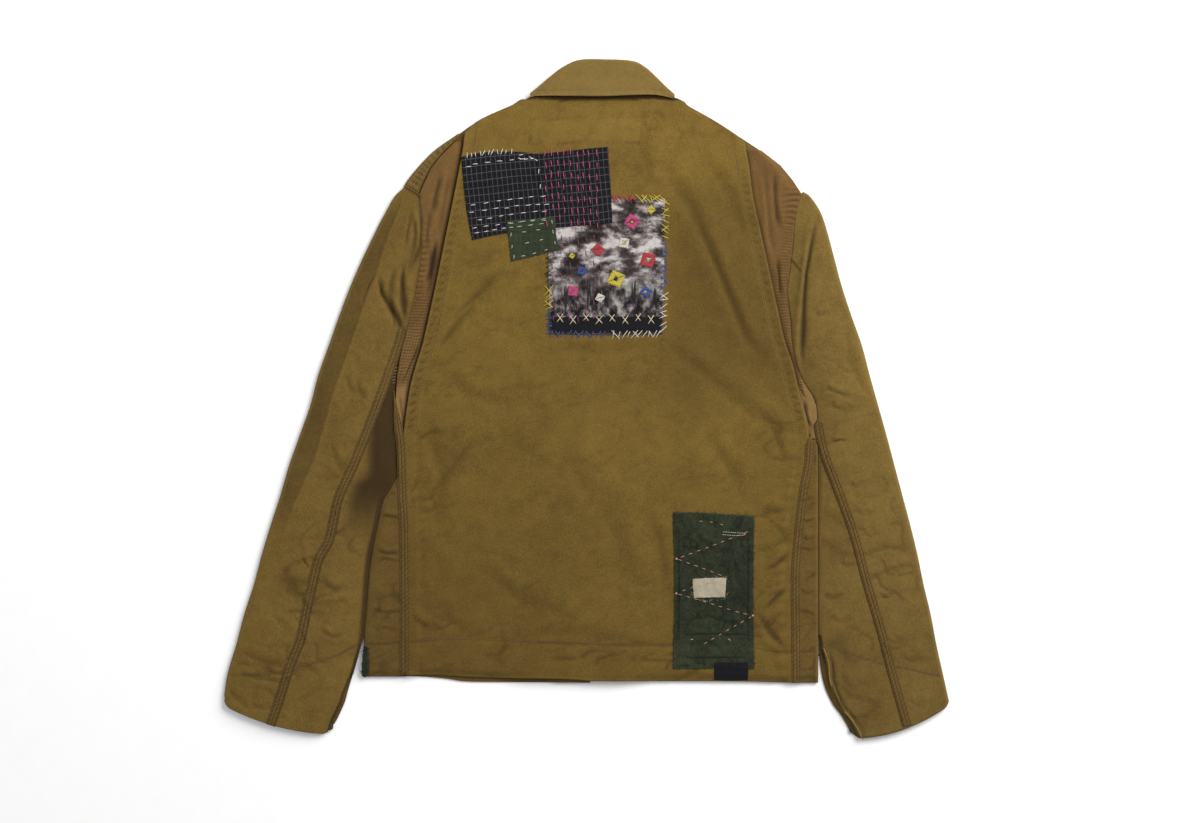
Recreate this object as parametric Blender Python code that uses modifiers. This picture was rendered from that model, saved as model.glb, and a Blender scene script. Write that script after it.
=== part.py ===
"""A patched work jacket lying flat on its front, seen from the back.

X runs to the right of the back view, Y towards the collar, Z up from the surface it rests on.
Plan points are in millimetres and are turned into metres when a mesh is made.
"""

import math

import bmesh
import bpy
from mathutils import Vector

MM = 0.001

# Cloth
WALL = 1.5
THIN = 1.0
GAP = 0.3
LOW = WALL / 2
BACK_HEIGHT = 5.0
# Moves the plan so that the middle of the whole jacket is the origin
CENTRE = (0.5, -3.2)
SEAM_HEIGHT = 4.8
TUCK = 13.0

# Front closing
PLACKET_EDGE_HEM = 3.4
PLACKET_LEAN = 0.0567
PLACKET_OVERLAP = 36.0
BUTTON_RADIUS = 8.5
BUTTON_HEIGHT = 2.3
BUTTON_ROWS = [215.0, 110.0, 5.0, -100.0, -205.0]
SNAP_RADIUS = 4.0
SNAP_HEIGHT = 0.9

# Gathers of the elastic in the gussets
RIB_PITCH = 8.8
RIB_HEIGHT = 0.55

OUTER_LEFT = [(-206.8, 242.4), (-217, 233), (-227, 216), (-236, 199), (-252, 166), (-267, 132), (-280, 98),
              (-292, 64), (-304, 30), (-313, -4), (-325, -38), (-337, -72), (-347, -106), (-358, -140),
              (-368, -173), (-377, -207), (-388, -241), (-397, -275), (-407, -309), (-412, -343)]
OUTER_RIGHT = [(241.8, 239), (251.5, 233), (263.5, 216), (270, 199), (279, 166), (288, 132), (299, 98),
               (311, 64), (320, 30), (329.5, -4), (339, -38), (348, -72), (357, -106), (366, -140),
               (374, -173), (381, -207), (389, -241), (395.5, -275), (403, -309), (411, -343)]
INNER_LEFT = [(-190, 233), (-185.5, 194), (-189.5, 149), (-198.5, 103), (-206, 74), (-213, 44), (-216.5, 2),
              (-215.8, -30), (-215.3, -70), (-216.5, -97), (-231, -112), (-238, -145), (-245, -179),
              (-249, -224), (-252.5, -262), (-260, -292), (-270, -326), (-275, -343), (-292, -378)]
INNER_RIGHT = [(243, 238.5), (239.6, 225.4), (236.5, 212.3), (234.1, 192.2), (233.5, 179), (229.5, 147),
               (226.8, 127), (227.5, 113.8), (230.6, 90), (231.8, 70), (235.5, 48), (242, 29), (249, 16),
               (257.8, 2.3), (260.3, -15), (260.6, -30), (261, -45), (261.8, -60), (262, -150), (262, -262),
               (263, -290), (268, -320), (278, -343), (289, -360), (301, -383)]
SEAM_LEFT = [(-205, 84), (-206.1, 80.8), (-221.5, 42.4), (-237.3, -5.1), (-262.2, -68.4), (-280.7, -110.2),
             (-291.2, -156.5), (-302.4, -177.1), (-308.7, -200.9), (-316.6, -235.8), (-323, -267.5),
             (-335.6, -299.2), (-343.5, -324.5), (-356.3, -362.6), (-360, -380)]
SEAM_RIGHT = [(255, 0), (260.6, -20.3), (267.5, -54.8), (283.1, -97.7), (301.7, -149.7), (316.2, -204),
              (330.4, -251.4), (343.1, -299.3), (363.9, -368.9), (368, -390)]
BACK_EDGE_LEFT = [(-138, 304.5), (-141.4, 279.7), (-149.7, 236.7), (-161.3, 180.2), (-174.6, 115.6),
                  (-186.3, 64), (-194.2, 38.6), (-200.6, 13.2), (-207.7, -37.5), (-208.6, -50),
                  (-206.4, -100), (-204.5, -134), (-203.4, -224), (-203.4, -309.5)]
BACK_EDGE_RIGHT = [(177.9, 292.9), (182.8, 266.5), (187.8, 230), (194.5, 200.1), (201, 170.3),
                   (207.7, 140.5), (214.4, 108.9), (223.3, 69.6), (232.9, 40.2), (239.8, 10.8),
                   (245, -11.6), (250.2, -35.9),
                   (249.3, -67), (243.5, -98.9), (237.9, -146.3), (234.2, -194.9), (234.4, -258.2),
                   (235, -318.1)]
SHOULDER_LEFT = [(-206, 243.4), (-203, 250), (-189, 267), (-172, 284), (-148, 301), (-123, 318), (-86, 335),
                 (-70.4, 342.2)]
SHOULDER_RIGHT = [(108.5, 340.2), (114, 335), (144, 318), (171, 301), (197, 284), (219, 267), (233, 250),
                  (241.4, 239.6)]
NECK_SEAM = [(-70.4, 342.2), (-62, 345.4), (-40, 349.5), (-10, 352), (20, 352.5), (50, 352), (80, 349),
             (98, 344.5), (108.5, 340.2)]
COLLAR_FOLD = [(-64, 348.8), (-55.4, 355.7), (-41.8, 367.3), (-28.3, 377.6), (-10.2, 386.1), (21, 387),
               (53.1, 384.8), (66.7, 377.6), (78, 367.3), (89.8, 355.7), (99, 347.5)]
COLLAR_EDGE = [(-64, 343.4), (-57.6, 345.2), (-20, 345), (18.1, 344.7), (75.7, 346.3), (99, 342.4)]
HEM = [(-203.4, -309.5), (-175, -309), (-141, -311), (-107, -312.5), (-56, -313), (-18, -314), (10, -316),
       (96, -316), (180, -316.5), (235, -318.1)]
GUSSET_OUT_LEFT = [(-143.5, 299), (-166.1, 277), (-177.4, 262), (-188, 239), (-189.4, 232)]
GUSSET_OUT_RIGHT = [(184, 288.5), (197, 284), (219, 267), (233, 250), (242.6, 238.2)]

# Heights on the outer edge and the inner edge of each sleeve row, from the shoulder to the cuff
ROWS_LEFT = [(242.4, 233), (222, 205), (200, 176), (178, 146), (153, 114), (124, 81), (106, 64), (80, 32),
             (52, 0), (25, -30), (-2, -60), (-30, -86), (-58, -112), (-86, -138), (-114, -164), (-142, -190),
             (-170, -216), (-198, -240), (-226, -262), (-254, -284), (-282, -308), (-308, -334),
             (-330, -360), (-343, -376)]
ROWS_RIGHT = [(237, 235.5), (218, 212), (197, 188), (175, 163), (152, 138), (129, 113), (105, 88), (81, 62),
              (57, 36), (33, 12), (11, -9), (-10, -30), (-28, -48), (-50, -70), (-76, -96), (-102, -122),
              (-130, -150), (-158, -178), (-186, -206), (-214, -234), (-244, -264), (-276, -296),
              (-310, -335), (-343, -381)]


def smooth(low, high, value):
    """Ease from 0 at low to 1 at high."""
    t = min(max((value - low) / (high - low), 0.0), 1.0)
    return t * t * (3.0 - 2.0 * t)


def interpolate(knots, values, s):
    """Smooth value at s through the values at the rising knots."""
    last = len(knots) - 1
    s = min(max(s, knots[0]), knots[-1])
    i = 0
    while i < last - 1 and s > knots[i + 1]:
        i += 1

    def slope(k):
        a = max(k - 1, 0)
        b = min(k + 1, last)
        return (values[b] - values[a]) / (knots[b] - knots[a])

    width = knots[i + 1] - knots[i]
    t = (s - knots[i]) / width
    start = values[i] * (2 * t ** 3 - 3 * t ** 2 + 1) + slope(i) * width * (t ** 3 - 2 * t ** 2 + t)
    end = values[i + 1] * (3 * t ** 2 - 2 * t ** 3) + slope(i + 1) * width * (t ** 3 - t ** 2)
    return start + end


class Line:
    """A line through plan points, read by its height, by its width or by its length."""

    def __init__(self, points):
        self.points = points
        self.lengths = [0.0]
        for a, b in zip(points, points[1:]):
            self.lengths.append(self.lengths[-1] + math.dist(a, b))

    def x(self, y):
        points = sorted(self.points, key=lambda p: p[1])
        return interpolate([p[1] for p in points], [p[0] for p in points], y)

    def y(self, x):
        points = sorted(self.points, key=lambda p: p[0])
        return interpolate([p[0] for p in points], [p[1] for p in points], x)

    def at(self, fraction):
        s = fraction * self.lengths[-1]
        x = interpolate(self.lengths, [p[0] for p in self.points], s)
        y = interpolate(self.lengths, [p[1] for p in self.points], s)
        return x, y


def straight_x(points, y):
    """Width of the straight-sided line through the points at a height."""
    points = sorted(points, key=lambda p: p[1])
    y = min(max(y, points[0][1]), points[-1][1])
    for (xa, ya), (xb, yb) in zip(points, points[1:]):
        if y <= yb:
            return xa + (xb - xa) * (y - ya) / (yb - ya)
    return points[-1][0]


def crossing(a, b, points):
    """Fraction of the way from a to b where the line through the points is met."""
    for p, q in zip(points, points[1:]):
        rx, ry = b[0] - a[0], b[1] - a[1]
        sx, sy = q[0] - p[0], q[1] - p[1]
        det = rx * sy - ry * sx
        if abs(det) < 1e-9:
            continue
        t = ((p[0] - a[0]) * sy - (p[1] - a[1]) * sx) / det
        w = ((p[0] - a[0]) * ry - (p[1] - a[1]) * rx) / det
        if -1e-9 <= w <= 1 + 1e-9 and -0.2 < t < 1.2:
            return t
    return None


def ridge(x, y, a, b, width, height):
    """Height of a soft fold along the line from a to b."""
    ax, ay = b[0] - a[0], b[1] - a[1]
    t = ((x - a[0]) * ax + (y - a[1]) * ay) / (ax * ax + ay * ay)
    t = min(max(t, 0.0), 1.0)
    d = math.hypot(x - a[0] - t * ax, y - a[1] - t * ay)
    return height * math.exp(-(d / width) ** 2)


def make_material(name, colour, roughness=0.9, metallic=0.0):
    material = bpy.data.materials.new(name)
    material.use_nodes = True
    shader = material.node_tree.nodes["Principled BSDF"]
    shader.inputs["Base Color"].default_value = (*colour, 1.0)
    shader.inputs["Roughness"].default_value = roughness
    shader.inputs["Metallic"].default_value = metallic
    return material


def add_object(name, mesh, colour, collection, roughness=0.9, metallic=0.0):
    obj = bpy.data.objects.new(name, mesh)
    collection.objects.link(obj)
    mesh.materials.clear()
    mesh.materials.append(make_material(name + "_material", colour, roughness, metallic))
    return obj


def grid_mesh(name, rows, drop=None):
    """A grid whose points are given row by row in millimetres, cut into triangles."""
    across = len(rows[0]) - 1
    along = len(rows) - 1
    mesh = bpy.data.meshes.new(name)
    bm = bmesh.new()
    bmesh.ops.create_grid(bm, x_segments=across, y_segments=along, size=1.0)
    place = {}
    for vert in bm.verts:
        place[vert] = (round((vert.co.x + 1) / 2 * across), round((vert.co.y + 1) / 2 * along))
    if drop:
        corners = [(f, [place[v] for v in f.verts]) for f in bm.faces]
        gone = [f for f, c in corners if drop(min(p[0] for p in c), min(p[1] for p in c))]
        bmesh.ops.delete(bm, geom=gone, context="FACES")
    for vert in bm.verts:
        i, j = place[vert]
        vert.co = Vector(rows[j][i]) * MM
    bmesh.ops.triangulate(bm, faces=bm.faces[:], quad_method="SHORT_EDGE")
    bm.to_mesh(mesh)
    bm.free()
    return mesh


def thicken(obj, wall):
    solid = obj.modifiers.new("Solidify", "SOLIDIFY")
    solid.thickness = wall * MM
    solid.offset = 0.0
    solid.use_even_offset = True
    solid.use_quality_normals = True
    obj.data.shade_smooth()


def sheet(name, rows, wall, colour, collection, drop=None):
    obj = add_object(name, grid_mesh(name, rows, drop), colour, collection)
    thicken(obj, wall)
    return obj


# Rows of the sleeves


def sleeve_stations(side):
    """Plan ends of every sleeve row, with the place of the seams along it in millimetres."""
    if side == "left":
        outer, inner, rows, seam = Line(OUTER_LEFT), Line(INNER_LEFT), ROWS_LEFT, SEAM_LEFT
        first_seam, sag = 6, 7.5
    else:
        outer, inner, rows, seam = Line(OUTER_RIGHT), Line(INNER_RIGHT), ROWS_RIGHT, SEAM_RIGHT
        first_seam, sag = 12, 9.5
    stations = []
    for k, (outer_y, inner_y) in enumerate(rows):
        a = (outer.x(outer_y), outer_y)
        b = (inner.x(inner_y), inner_y)
        length = math.dist(a, b)
        t = 1.0 if k < first_seam else crossing(a, b, seam)
        drop_t = 1.0 if k < first_seam else 1.0 - 0.4 * smooth(first_seam - 1, first_seam + 8, k)
        under = drop_t * length if k < first_seam else min(drop_t * length, length - 5.0)
        bend = sag * smooth(len(rows) - 5, len(rows) - 1, k)
        stations.append({"a": a, "b": b, "length": length, "seam": t * length, "under": under,
                         "bend": bend, "k": k})
    return stations, first_seam


def row_point(station, s, z):
    t = s / station["length"]
    a, b = station["a"], station["b"]
    x = a[0] + (b[0] - a[0]) * t
    y = a[1] + (b[1] - a[1]) * t - station["bend"] * 4 * t * (1 - t)
    return (x, y, z)


def sleeve_height(side, station, s):
    """Height of the upper layer of a sleeve, a distance in from its outer edge."""
    length = station["length"]
    k = station["k"]
    grow = smooth(-0.5, 5, k) * (1 - 0.55 * smooth(19, 23, k))
    inner = 4.7
    if side == "left" and 5 < k < 13:
        inner = 4.7 - 1.6 * smooth(5, 7, k) * (1 - smooth(10, 13, k))
    crest = min(42.0, length * 0.4)
    bulge = 3.4 * grow
    if side == "left":
        up = interpolate([0, crest, length * 0.75, length], [0, 1, 0.75, 0], s)
    else:
        up = interpolate([0, length * 0.4, length * 0.7, length], [0, 0.9, 1, 0], s)
    return SEAM_HEIGHT + (inner - SEAM_HEIGHT) * smooth(length - 25, length, s) + bulge * up


SLIT_START = 20
SLIT_WIDTH = {"left": {20: 2.0, 21: 5.0, 22: 6.0, 23: 2.5}, "right": {20: 2.5, 21: 6.5, 22: 8.0, 23: 8.5}}
FOLD_ANGLES = [90, 45, 0, -45, -90]


def top_sleeve_rows(side):
    stations, first_seam = sleeve_stations(side)
    rows = []
    for st in stations:
        z_edge = sleeve_height(side, st, 0.0)
        r = (z_edge - LOW) / 2
        start = LOW + r
        seam_end = st["seam"] - (0.3 if st["k"] < first_seam else 0.25)
        low_end = st["under"] - 0.3
        row = []
        for f in (1.0, 0.86, 0.7, 0.54, 0.38, 0.22, 0.1):
            s = start + (seam_end - start) * f
            row.append(row_point(st, s, sleeve_height(side, st, s)))
        for angle in FOLD_ANGLES:
            turn = math.radians(angle)
            row.append(row_point(st, start - r * math.cos(turn), LOW + r + r * math.sin(turn)))
        for f in (0.33, 0.66, 1.0):
            row.append(row_point(st, start + (low_end - start) * f, LOW))
        rows.append(row)
    return rows


def under_sleeve_rows(side):
    stations, first_seam = sleeve_stations(side)
    rows = []
    for st in stations[first_seam:]:
        length = st["length"]
        z_edge = sleeve_height(side, st, length)
        r = (z_edge - LOW) / 2
        start = LOW + r + 0.3
        slit = SLIT_WIDTH[side].get(st["k"], 0.0)
        top_start = start if st["k"] <= SLIT_START else slit + 0.3
        seam_end = length - st["seam"] - 0.25
        low_end = length - st["under"] - 0.3
        low_end = max(low_end, start + 1.5)
        row = []
        for f in (1.0, 0.75, 0.5, 0.22):
            s = length - (top_start + (seam_end - top_start) * f)
            row.append(row_point(st, s, sleeve_height(side, st, s)))
        for angle in FOLD_ANGLES:
            turn = math.radians(angle)
            s = length - start + r * math.cos(turn)
            z = LOW + r + r * math.sin(turn)
            if st["k"] > SLIT_START and angle == 90:
                s = length - top_start
                z = sleeve_height(side, st, s)
            if st["k"] > SLIT_START and angle == -90:
                s = length - 0.3
            row.append(row_point(st, s, z))
        for f in (0.5, 1.0):
            row.append(row_point(st, length - (start + (low_end - start) * f), LOW))
        rows.append(row)
    return rows, first_seam


def make_sleeves(collection):
    for side, colour in (("left", (0.125, 0.076, 0.025)), ("right", (0.17, 0.104, 0.032))):
        sheet("sleeve_top_" + side, top_sleeve_rows(side), WALL, colour, collection)
        rows, first_seam = under_sleeve_rows(side)
        first_open = SLIT_START - first_seam

        def drop(i, j, first_open=first_open):
            return j >= first_open and 4 <= i <= 7

        sheet("sleeve_under_" + side, rows, WALL, colour, collection, drop)


# Body


def placket_edge(y):
    """Free edge of the outer front across the jacket."""
    return PLACKET_EDGE_HEM + (y + 318.0) * PLACKET_LEAN


def back_height(x, y):
    """Middle of the back's wall before its edges turn down."""
    centre = placket_edge(y) - 15.0
    bump = 2.2 * (1 - smooth(45, 95, abs(x - centre))) * (1 - smooth(300, 335, y))
    folds = ridge(x, y, (78, 268), (150, 155), 26, 1.6) + ridge(x, y, (150, 155), (205, 60), 26, 1.3)
    folds += ridge(x, y, (-90, 150), (-152, 92), 24, 1.4) + ridge(x, y, (-120, -36), (-168, -100), 24, 1.0)
    folds += ridge(x, y, (170, -215), (215, -185), 22, 1.0)
    return BACK_HEIGHT + bump + folds * (1 - 0.5 * min(bump, 1.0))


def spaced(near, far, inner, total):
    """Places along a width: close together at both ends and even between them."""
    count = max(2, round((total - near[-1] - far[-1]) / inner))
    places = list(near)
    for i in range(1, count):
        places.append(near[-1] + (total - near[-1] - far[-1]) * i / count)
    places += [total - p for p in reversed(far)]
    return [p / total for p in places]


def blend(u, v, bottom, top, left, right):
    """Point of the patch between four meeting edges."""
    b, t, le, ri = bottom(u), top(u), left(v), right(v)
    corners = (bottom(0), bottom(1), top(0), top(1))
    out = []
    for c in (0, 1):
        value = (1 - v) * b[c] + v * t[c] + (1 - u) * le[c] + u * ri[c]
        value -= (1 - u) * (1 - v) * corners[0][c] + u * (1 - v) * corners[1][c]
        value -= (1 - u) * v * corners[2][c] + u * v * corners[3][c]
        out.append(value)
    return out


def back_top(u):
    """Left shoulder, neck seam and right shoulder of the back as one line."""
    left = [(-138, 304.5), (-123, 317.5), (-86, 334.6), (-70.4, 341.4)]
    right = [(108.5, 339.6), (114, 334.6), (144, 317.6), (171, 299.8), (177.9, 292.9)]
    neck = [(x, y - 0.6) for x, y in NECK_SEAM[1:-1]]
    whole = Line(left + neck + right)
    x = left[0][0] + (right[-1][0] - left[0][0]) * u
    return x, whole.y(x)


def back_plan(u, v):
    hem = Line(HEM)

    def bottom(s):
        x = HEM[0][0] + (HEM[-1][0] - HEM[0][0]) * s
        return x, hem.y(x)

    def left(s):
        y = HEM[0][1] + (304.5 - HEM[0][1]) * s
        return Line(BACK_EDGE_LEFT).x(y), y

    def right(s):
        y = HEM[-1][1] + (292.9 - HEM[-1][1]) * s
        return Line(BACK_EDGE_RIGHT).x(y), y

    return blend(u, v, bottom, back_top, left, right)


def back_point(u, v):
    x, y = back_plan(u, v)
    z = back_height(x, y)
    from_hem = v * 640
    from_top = (1 - v) * 640
    bump = max(z - BACK_HEIGHT, 0.0)
    z -= max(2.1 - bump, 0.0) * (1 - smooth(0, 9, from_hem))
    shoulder = smooth(0, 25, abs(x - 19) - 85)
    z -= 0.6 * (1 - smooth(0, 7, from_top)) * shoulder
    side = min(u, 1 - u) * 440
    if y < -30:
        z = SEAM_HEIGHT + (z - SEAM_HEIGHT) * smooth(0, 20, side)
    return x, y, z


BACK_ACROSS = spaced([0, 6], [0, 6], 23.5, 440)
BACK_ALONG = spaced([0, 3, 9], [0, 4, 12], 23.5, 640)


def back_rows():
    return [[back_point(u, v) for u in BACK_ACROSS] for v in BACK_ALONG]


def sleeve_inner_points(side):
    stations, _ = sleeve_stations(side)
    return [st["b"] for st in stations]


def gusset_rows(side):
    """Gusset from its tucked edge under the back out to the armhole, gathered by its elastic."""
    sign = -1 if side == "left" else 1
    edge = Line(BACK_EDGE_LEFT if side == "left" else BACK_EDGE_RIGHT)
    rim = (GUSSET_OUT_LEFT if side == "left" else GUSSET_OUT_RIGHT)[:-1] + sleeve_inner_points(side)
    top_y, end_y = (294.0, -36.2) if side == "left" else (285.0, -42.2)
    gather_top, gather_end = (226.0, -20.0) if side == "left" else (222.0, 36.0)
    heights = [top_y - 12 * i for i in range(int((top_y - gather_top) / 12))] + [gather_top]
    steps = round((gather_top - gather_end) / (RIB_PITCH / 2))
    heights += [gather_top - (gather_top - gather_end) * i / steps for i in range(1, steps + 1)]
    rest = max(1, round((gather_end - end_y) / 12))
    heights += [gather_end - (gather_end - end_y) * i / rest for i in range(1, rest + 1)]
    silhouette_end = 236.0
    rows = []
    for n, y in enumerate(heights):
        deep = smooth(end_y, end_y + 40, y) * (1 - 0.5 * smooth(top_y - 50, top_y - 10, y))
        tuck = 3.0 + (TUCK - 3.0) * deep
        inner_x = edge.x(y) - sign * tuck
        outer_x = straight_x(rim, y) - sign * 0.45
        turned = smooth(silhouette_end, silhouette_end + 8, y) if side == "right" else 0.0
        rib = RIB_HEIGHT * (1 if n % 2 else -1)
        rib *= smooth(gather_end - 1, gather_end + 12, y) * (1 - smooth(gather_top - 12, gather_top + 1, y))
        row = []
        visible = abs(outer_x - edge.x(y))
        for f in (0.0, 0.36, 0.6, 0.8, 1.0):
            x = inner_x + (outer_x - inner_x) * f
            out = (x - edge.x(y)) * sign
            rise = smooth(-1.0, max(6.0, 0.75 * visible), out)
            z = 2.6 + 1.9 * rise
            z += rib * smooth(-2, 5, out) * (1.0 if f < 1 else 0.6)
            z -= 1.9 * turned * smooth(0.8, 1.0, f)
            row.append((x, y, z))
        rows.append(row)
    rows.reverse()
    return rows


def side_rows(side):
    """Side panel from the back seam round the side fold to its lower seam, hem to armpit."""
    sign = -1 if side == "left" else 1
    rim = sleeve_inner_points(side)
    seam = Line(BACK_EDGE_LEFT if side == "left" else BACK_EDGE_RIGHT)
    top_y = -37.2 if side == "left" else -43.2
    end_y = -311.0 if side == "left" else -318.0
    heights = [end_y, end_y + 3, end_y + 9]
    heights += [y for y in sorted(p[1] for p in rim) if end_y + 14 < y < top_y - 8] + [top_y]
    rows = []
    for y in heights:
        edge_x = straight_x(rim, y) - sign * 0.6
        if side == "left":
            edge_x = max(edge_x, -252.6)
        else:
            edge_x = min(edge_x, 261.3)
        seam_x = seam.x(y) + sign * (0.5 + 0.7 * smooth(-120, -60, y))
        hem = 1 - smooth(0, 9, y - end_y)
        z_edge = SEAM_HEIGHT - 1.2 * hem
        r = (z_edge - LOW) / 2
        start = LOW + r
        width = abs(edge_x - seam_x) - start
        row = []
        for f in (1.0, 0.66, 0.33):
            z = z_edge if f < 1 else SEAM_HEIGHT - 2.0 * hem
            row.append((edge_x - sign * (start + width * f), y, z))
        for angle in FOLD_ANGLES:
            turn = math.radians(angle)
            row.append((edge_x - sign * (start - r * math.cos(turn)), y, LOW + r + r * math.sin(turn)))
        bottom = 4.0 + 16.0 * smooth(-45, -110, y)
        for f in (0.5, 1.0):
            row.append((edge_x - sign * (start + bottom * f), y, LOW))
        rows.append(row)
    return rows


def neck_lift(x, y):
    return 1.9 * smooth(185, 208, y) * (1 - smooth(108, 130, abs(x - 19)))


def front_rows(side):
    """Front panel, lowest layer of the body, from its side seam to its placket edge."""
    sign = -1 if side == "left" else 1
    lower_side = side_rows(side)
    outer = [(p[-1][0] - sign * 0.4, p[0][1]) for p in lower_side]
    rim = [p for p in sleeve_inner_points(side) if p[1] > outer[-1][1] + 4]
    rim.sort(key=lambda p: p[1])
    outer += [(p[0] - sign * 0.7, p[1]) for p in rim[:-1]]
    if side == "left":
        outer += [(-189.4, 234.2), (-204.6, 243.8)]
        top = [(-204.6, 243.8)] + SHOULDER_LEFT[1:] + [(-38, 313), (placket_edge(292), 292)]
        edge_shift = 0.0
        outer[0] = (outer[0][0], -311.0)
    else:
        outer += [(240.4, 238.6)]
        top = [(240.4, 238.6)] + SHOULDER_RIGHT[::-1][1:] + [(74, 312), (placket_edge(292) - 36, 292)]
        edge_shift = -PLACKET_OVERLAP
    if side == "left":
        hem = [outer[0], (-192, -311), (-160, -313.5), (-140, -316.5), (-100, -317.3),
               (placket_edge(-318), -318)]
    else:
        hem = [outer[0], (200, -313.5), (100, -313), (placket_edge(-312) + edge_shift, -311)]
    top = [top[0]] + [(x, y - 1.0) for x, y in top[1:]]
    bottom_line, top_line = Line(hem), Line(top)
    low_y, high_y = hem[-1][1], 292.0
    across = spaced([0, 14], [0, 18, 34, 50], 30, 230)
    if side == "right":
        across = spaced([0, 14], [0, 18, 36, 50, 66], 30, 270)
    rows = []
    for n in range(len(outer)):
        oy = outer[n][1]
        v = (oy - outer[0][1]) / (outer[-1][1] - outer[0][1])
        row = []
        for u in across:
            def right(s):
                y = low_y + (high_y - low_y) * s
                return placket_edge(y) + edge_shift, y

            b, t = bottom_line.at(u), top_line.at(u)
            ri = right(v)
            out = []
            for c in (0, 1):
                value = (1 - v) * b[c] + v * t[c] + (1 - u) * outer[n][c] + u * ri[c]
                value -= (1 - u) * ((1 - v) * outer[0][c] + v * outer[-1][c])
                value -= u * ((1 - v) * right(0)[c] + v * right(1)[c])
                out.append(value)
            x, y = out
            inward = placket_edge(y) - x
            lift = neck_lift(x, y)
            if side == "left":
                z = LOW + max(2.7 * (1 - smooth(34.5, 49, inward)), lift)
            else:
                z = LOW + max(4.5 * (1 - smooth(6, 32, -inward)), lift)
            row.append((x, y, z))
        rows.append(row)
    return rows


def shoulder_rows():
    outer = Line([(-145, 303.2)] + [(-148, 301), (-172, 284), (-189, 267), (-203, 250), (-206, 244.2)])
    inner = Line([(-144.6, 299.6), (-166.6, 277.4), (-178, 262), (-188.6, 239.6), (-190, 235)])
    rows = []
    for n in range(9):
        a = inner.at(n / 8)
        b = outer.at(n / 8)
        row = []
        for f, z in ((0.0, 4.5), (0.45, 4.6), (0.75, 4.2), (0.9, 3.4), (1.0, 2.65)):
            row.append((a[0] + (b[0] - a[0]) * f, a[1] + (b[1] - a[1]) * f, z))
        rows.append(row)
    return rows


def collar_rows():
    """Collar across the back neck: stand up from the neck seam, over the fold and down as the fall."""
    fold, edge, seam = Line(COLLAR_FOLD), Line(COLLAR_EDGE), Line(NECK_SEAM)
    start, end = COLLAR_FOLD[0][0], COLLAR_FOLD[-1][0]
    rows = []
    for n in range(19):
        f = n / 18
        x = start + (end - start) * (0.5 - 0.5 * math.cos(math.pi * f))
        y_fold, y_edge = fold.y(x), edge.y(x)
        near = 1 - smooth(0, 30, min(x - start, end - x))
        stand = 5.1 - 0.5 * near
        fall = stand + 3.3
        r = (fall - stand) / 2
        top = y_fold - LOW - r
        y_seam = min(seam.y(x) + 0.5, top - 0.8)
        row = []
        for g in (0.0, 0.5):
            row.append((x, y_seam + (top - y_seam) * g, stand))
        for angle in (-90, -45, 0, 45, 90):
            turn = math.radians(angle)
            row.append((x, top + r * math.cos(turn), stand + r + r * math.sin(turn)))
        for g in (0.3, 0.6, 0.85, 1.0):
            y = top + (y_edge - top) * g
            row.append((x, y, fall - 1.0 * smooth(0.5, 1.0, g)))
        rows.append(row)
    return rows


def make_body(collection):
    khaki = (0.18, 0.112, 0.028)
    brown = (0.175, 0.1, 0.042)
    sheet("back_panel", back_rows(), WALL, khaki, collection)
    for side in ("left", "right"):
        sheet("gusset_" + side, gusset_rows(side), THIN, brown, collection)
        sheet("side_" + side, side_rows(side), WALL, khaki, collection)
        sheet("front_" + side, front_rows(side), WALL, khaki, collection)
    sheet("shoulder_left", shoulder_rows(), WALL, khaki, collection)
    sheet("collar_back", collar_rows(), WALL, (0.24, 0.16, 0.05), collection)


# Flat pieces


def outline_mesh(name, points, low, high):
    """A flat outline given in millimetres, filled and raised between two heights."""
    curve = bpy.data.curves.new(name, "CURVE")
    curve.dimensions = "2D"
    curve.fill_mode = "BOTH"
    curve.extrude = (high - low) / 2 * MM
    spline = curve.splines.new("POLY")
    spline.points.add(len(points) - 1)
    for point, (x, y) in zip(spline.points, points):
        point.co = (x * MM, y * MM, 0.0, 1.0)
    spline.use_cyclic_u = True
    guide = bpy.data.objects.new(name + "_outline", curve)
    bpy.context.scene.collection.objects.link(guide)
    guide.location.z = (low + high) / 2 * MM
    bpy.context.view_layer.update()
    depsgraph = bpy.context.evaluated_depsgraph_get()
    mesh = bpy.data.meshes.new_from_object(guide.evaluated_get(depsgraph))
    mesh.transform(guide.matrix_world)
    bpy.data.objects.remove(guide)
    bm = bmesh.new()
    bm.from_mesh(mesh)
    bmesh.ops.remove_doubles(bm, verts=bm.verts, dist=0.00001)
    bmesh.ops.recalc_face_normals(bm, faces=bm.faces)
    bm.to_mesh(mesh)
    bm.free()
    mesh.name = name
    return mesh


def make_leaves(collection):
    left = [(-58, 338), (-32, 308), (16.5, 291), (-26, 242), (-64, 320)]
    right = [(97, 336), (70, 308), (21.5, 291), (64, 242), (103, 318)]
    for name, points in (("collar_leaf_left", left), ("collar_leaf_right", right)):
        add_object(name, outline_mesh(name, points, 0.0, WALL), (0.24, 0.16, 0.05), collection)


def make_round(name, x, y, low, radius, height, colour, collection, roughness, metallic):
    bpy.ops.mesh.primitive_cylinder_add(vertices=24, radius=radius * MM, depth=height * MM,
                                        location=(x * MM, y * MM, (low + height / 2) * MM))
    made = bpy.context.active_object
    mesh = made.data
    mesh.transform(made.matrix_world)
    bpy.data.objects.remove(made)
    mesh.name = name
    mesh.shade_smooth()
    mesh.set_sharp_from_angle(angle=math.radians(35))
    return add_object(name, mesh, colour, collection, roughness, metallic)


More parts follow.
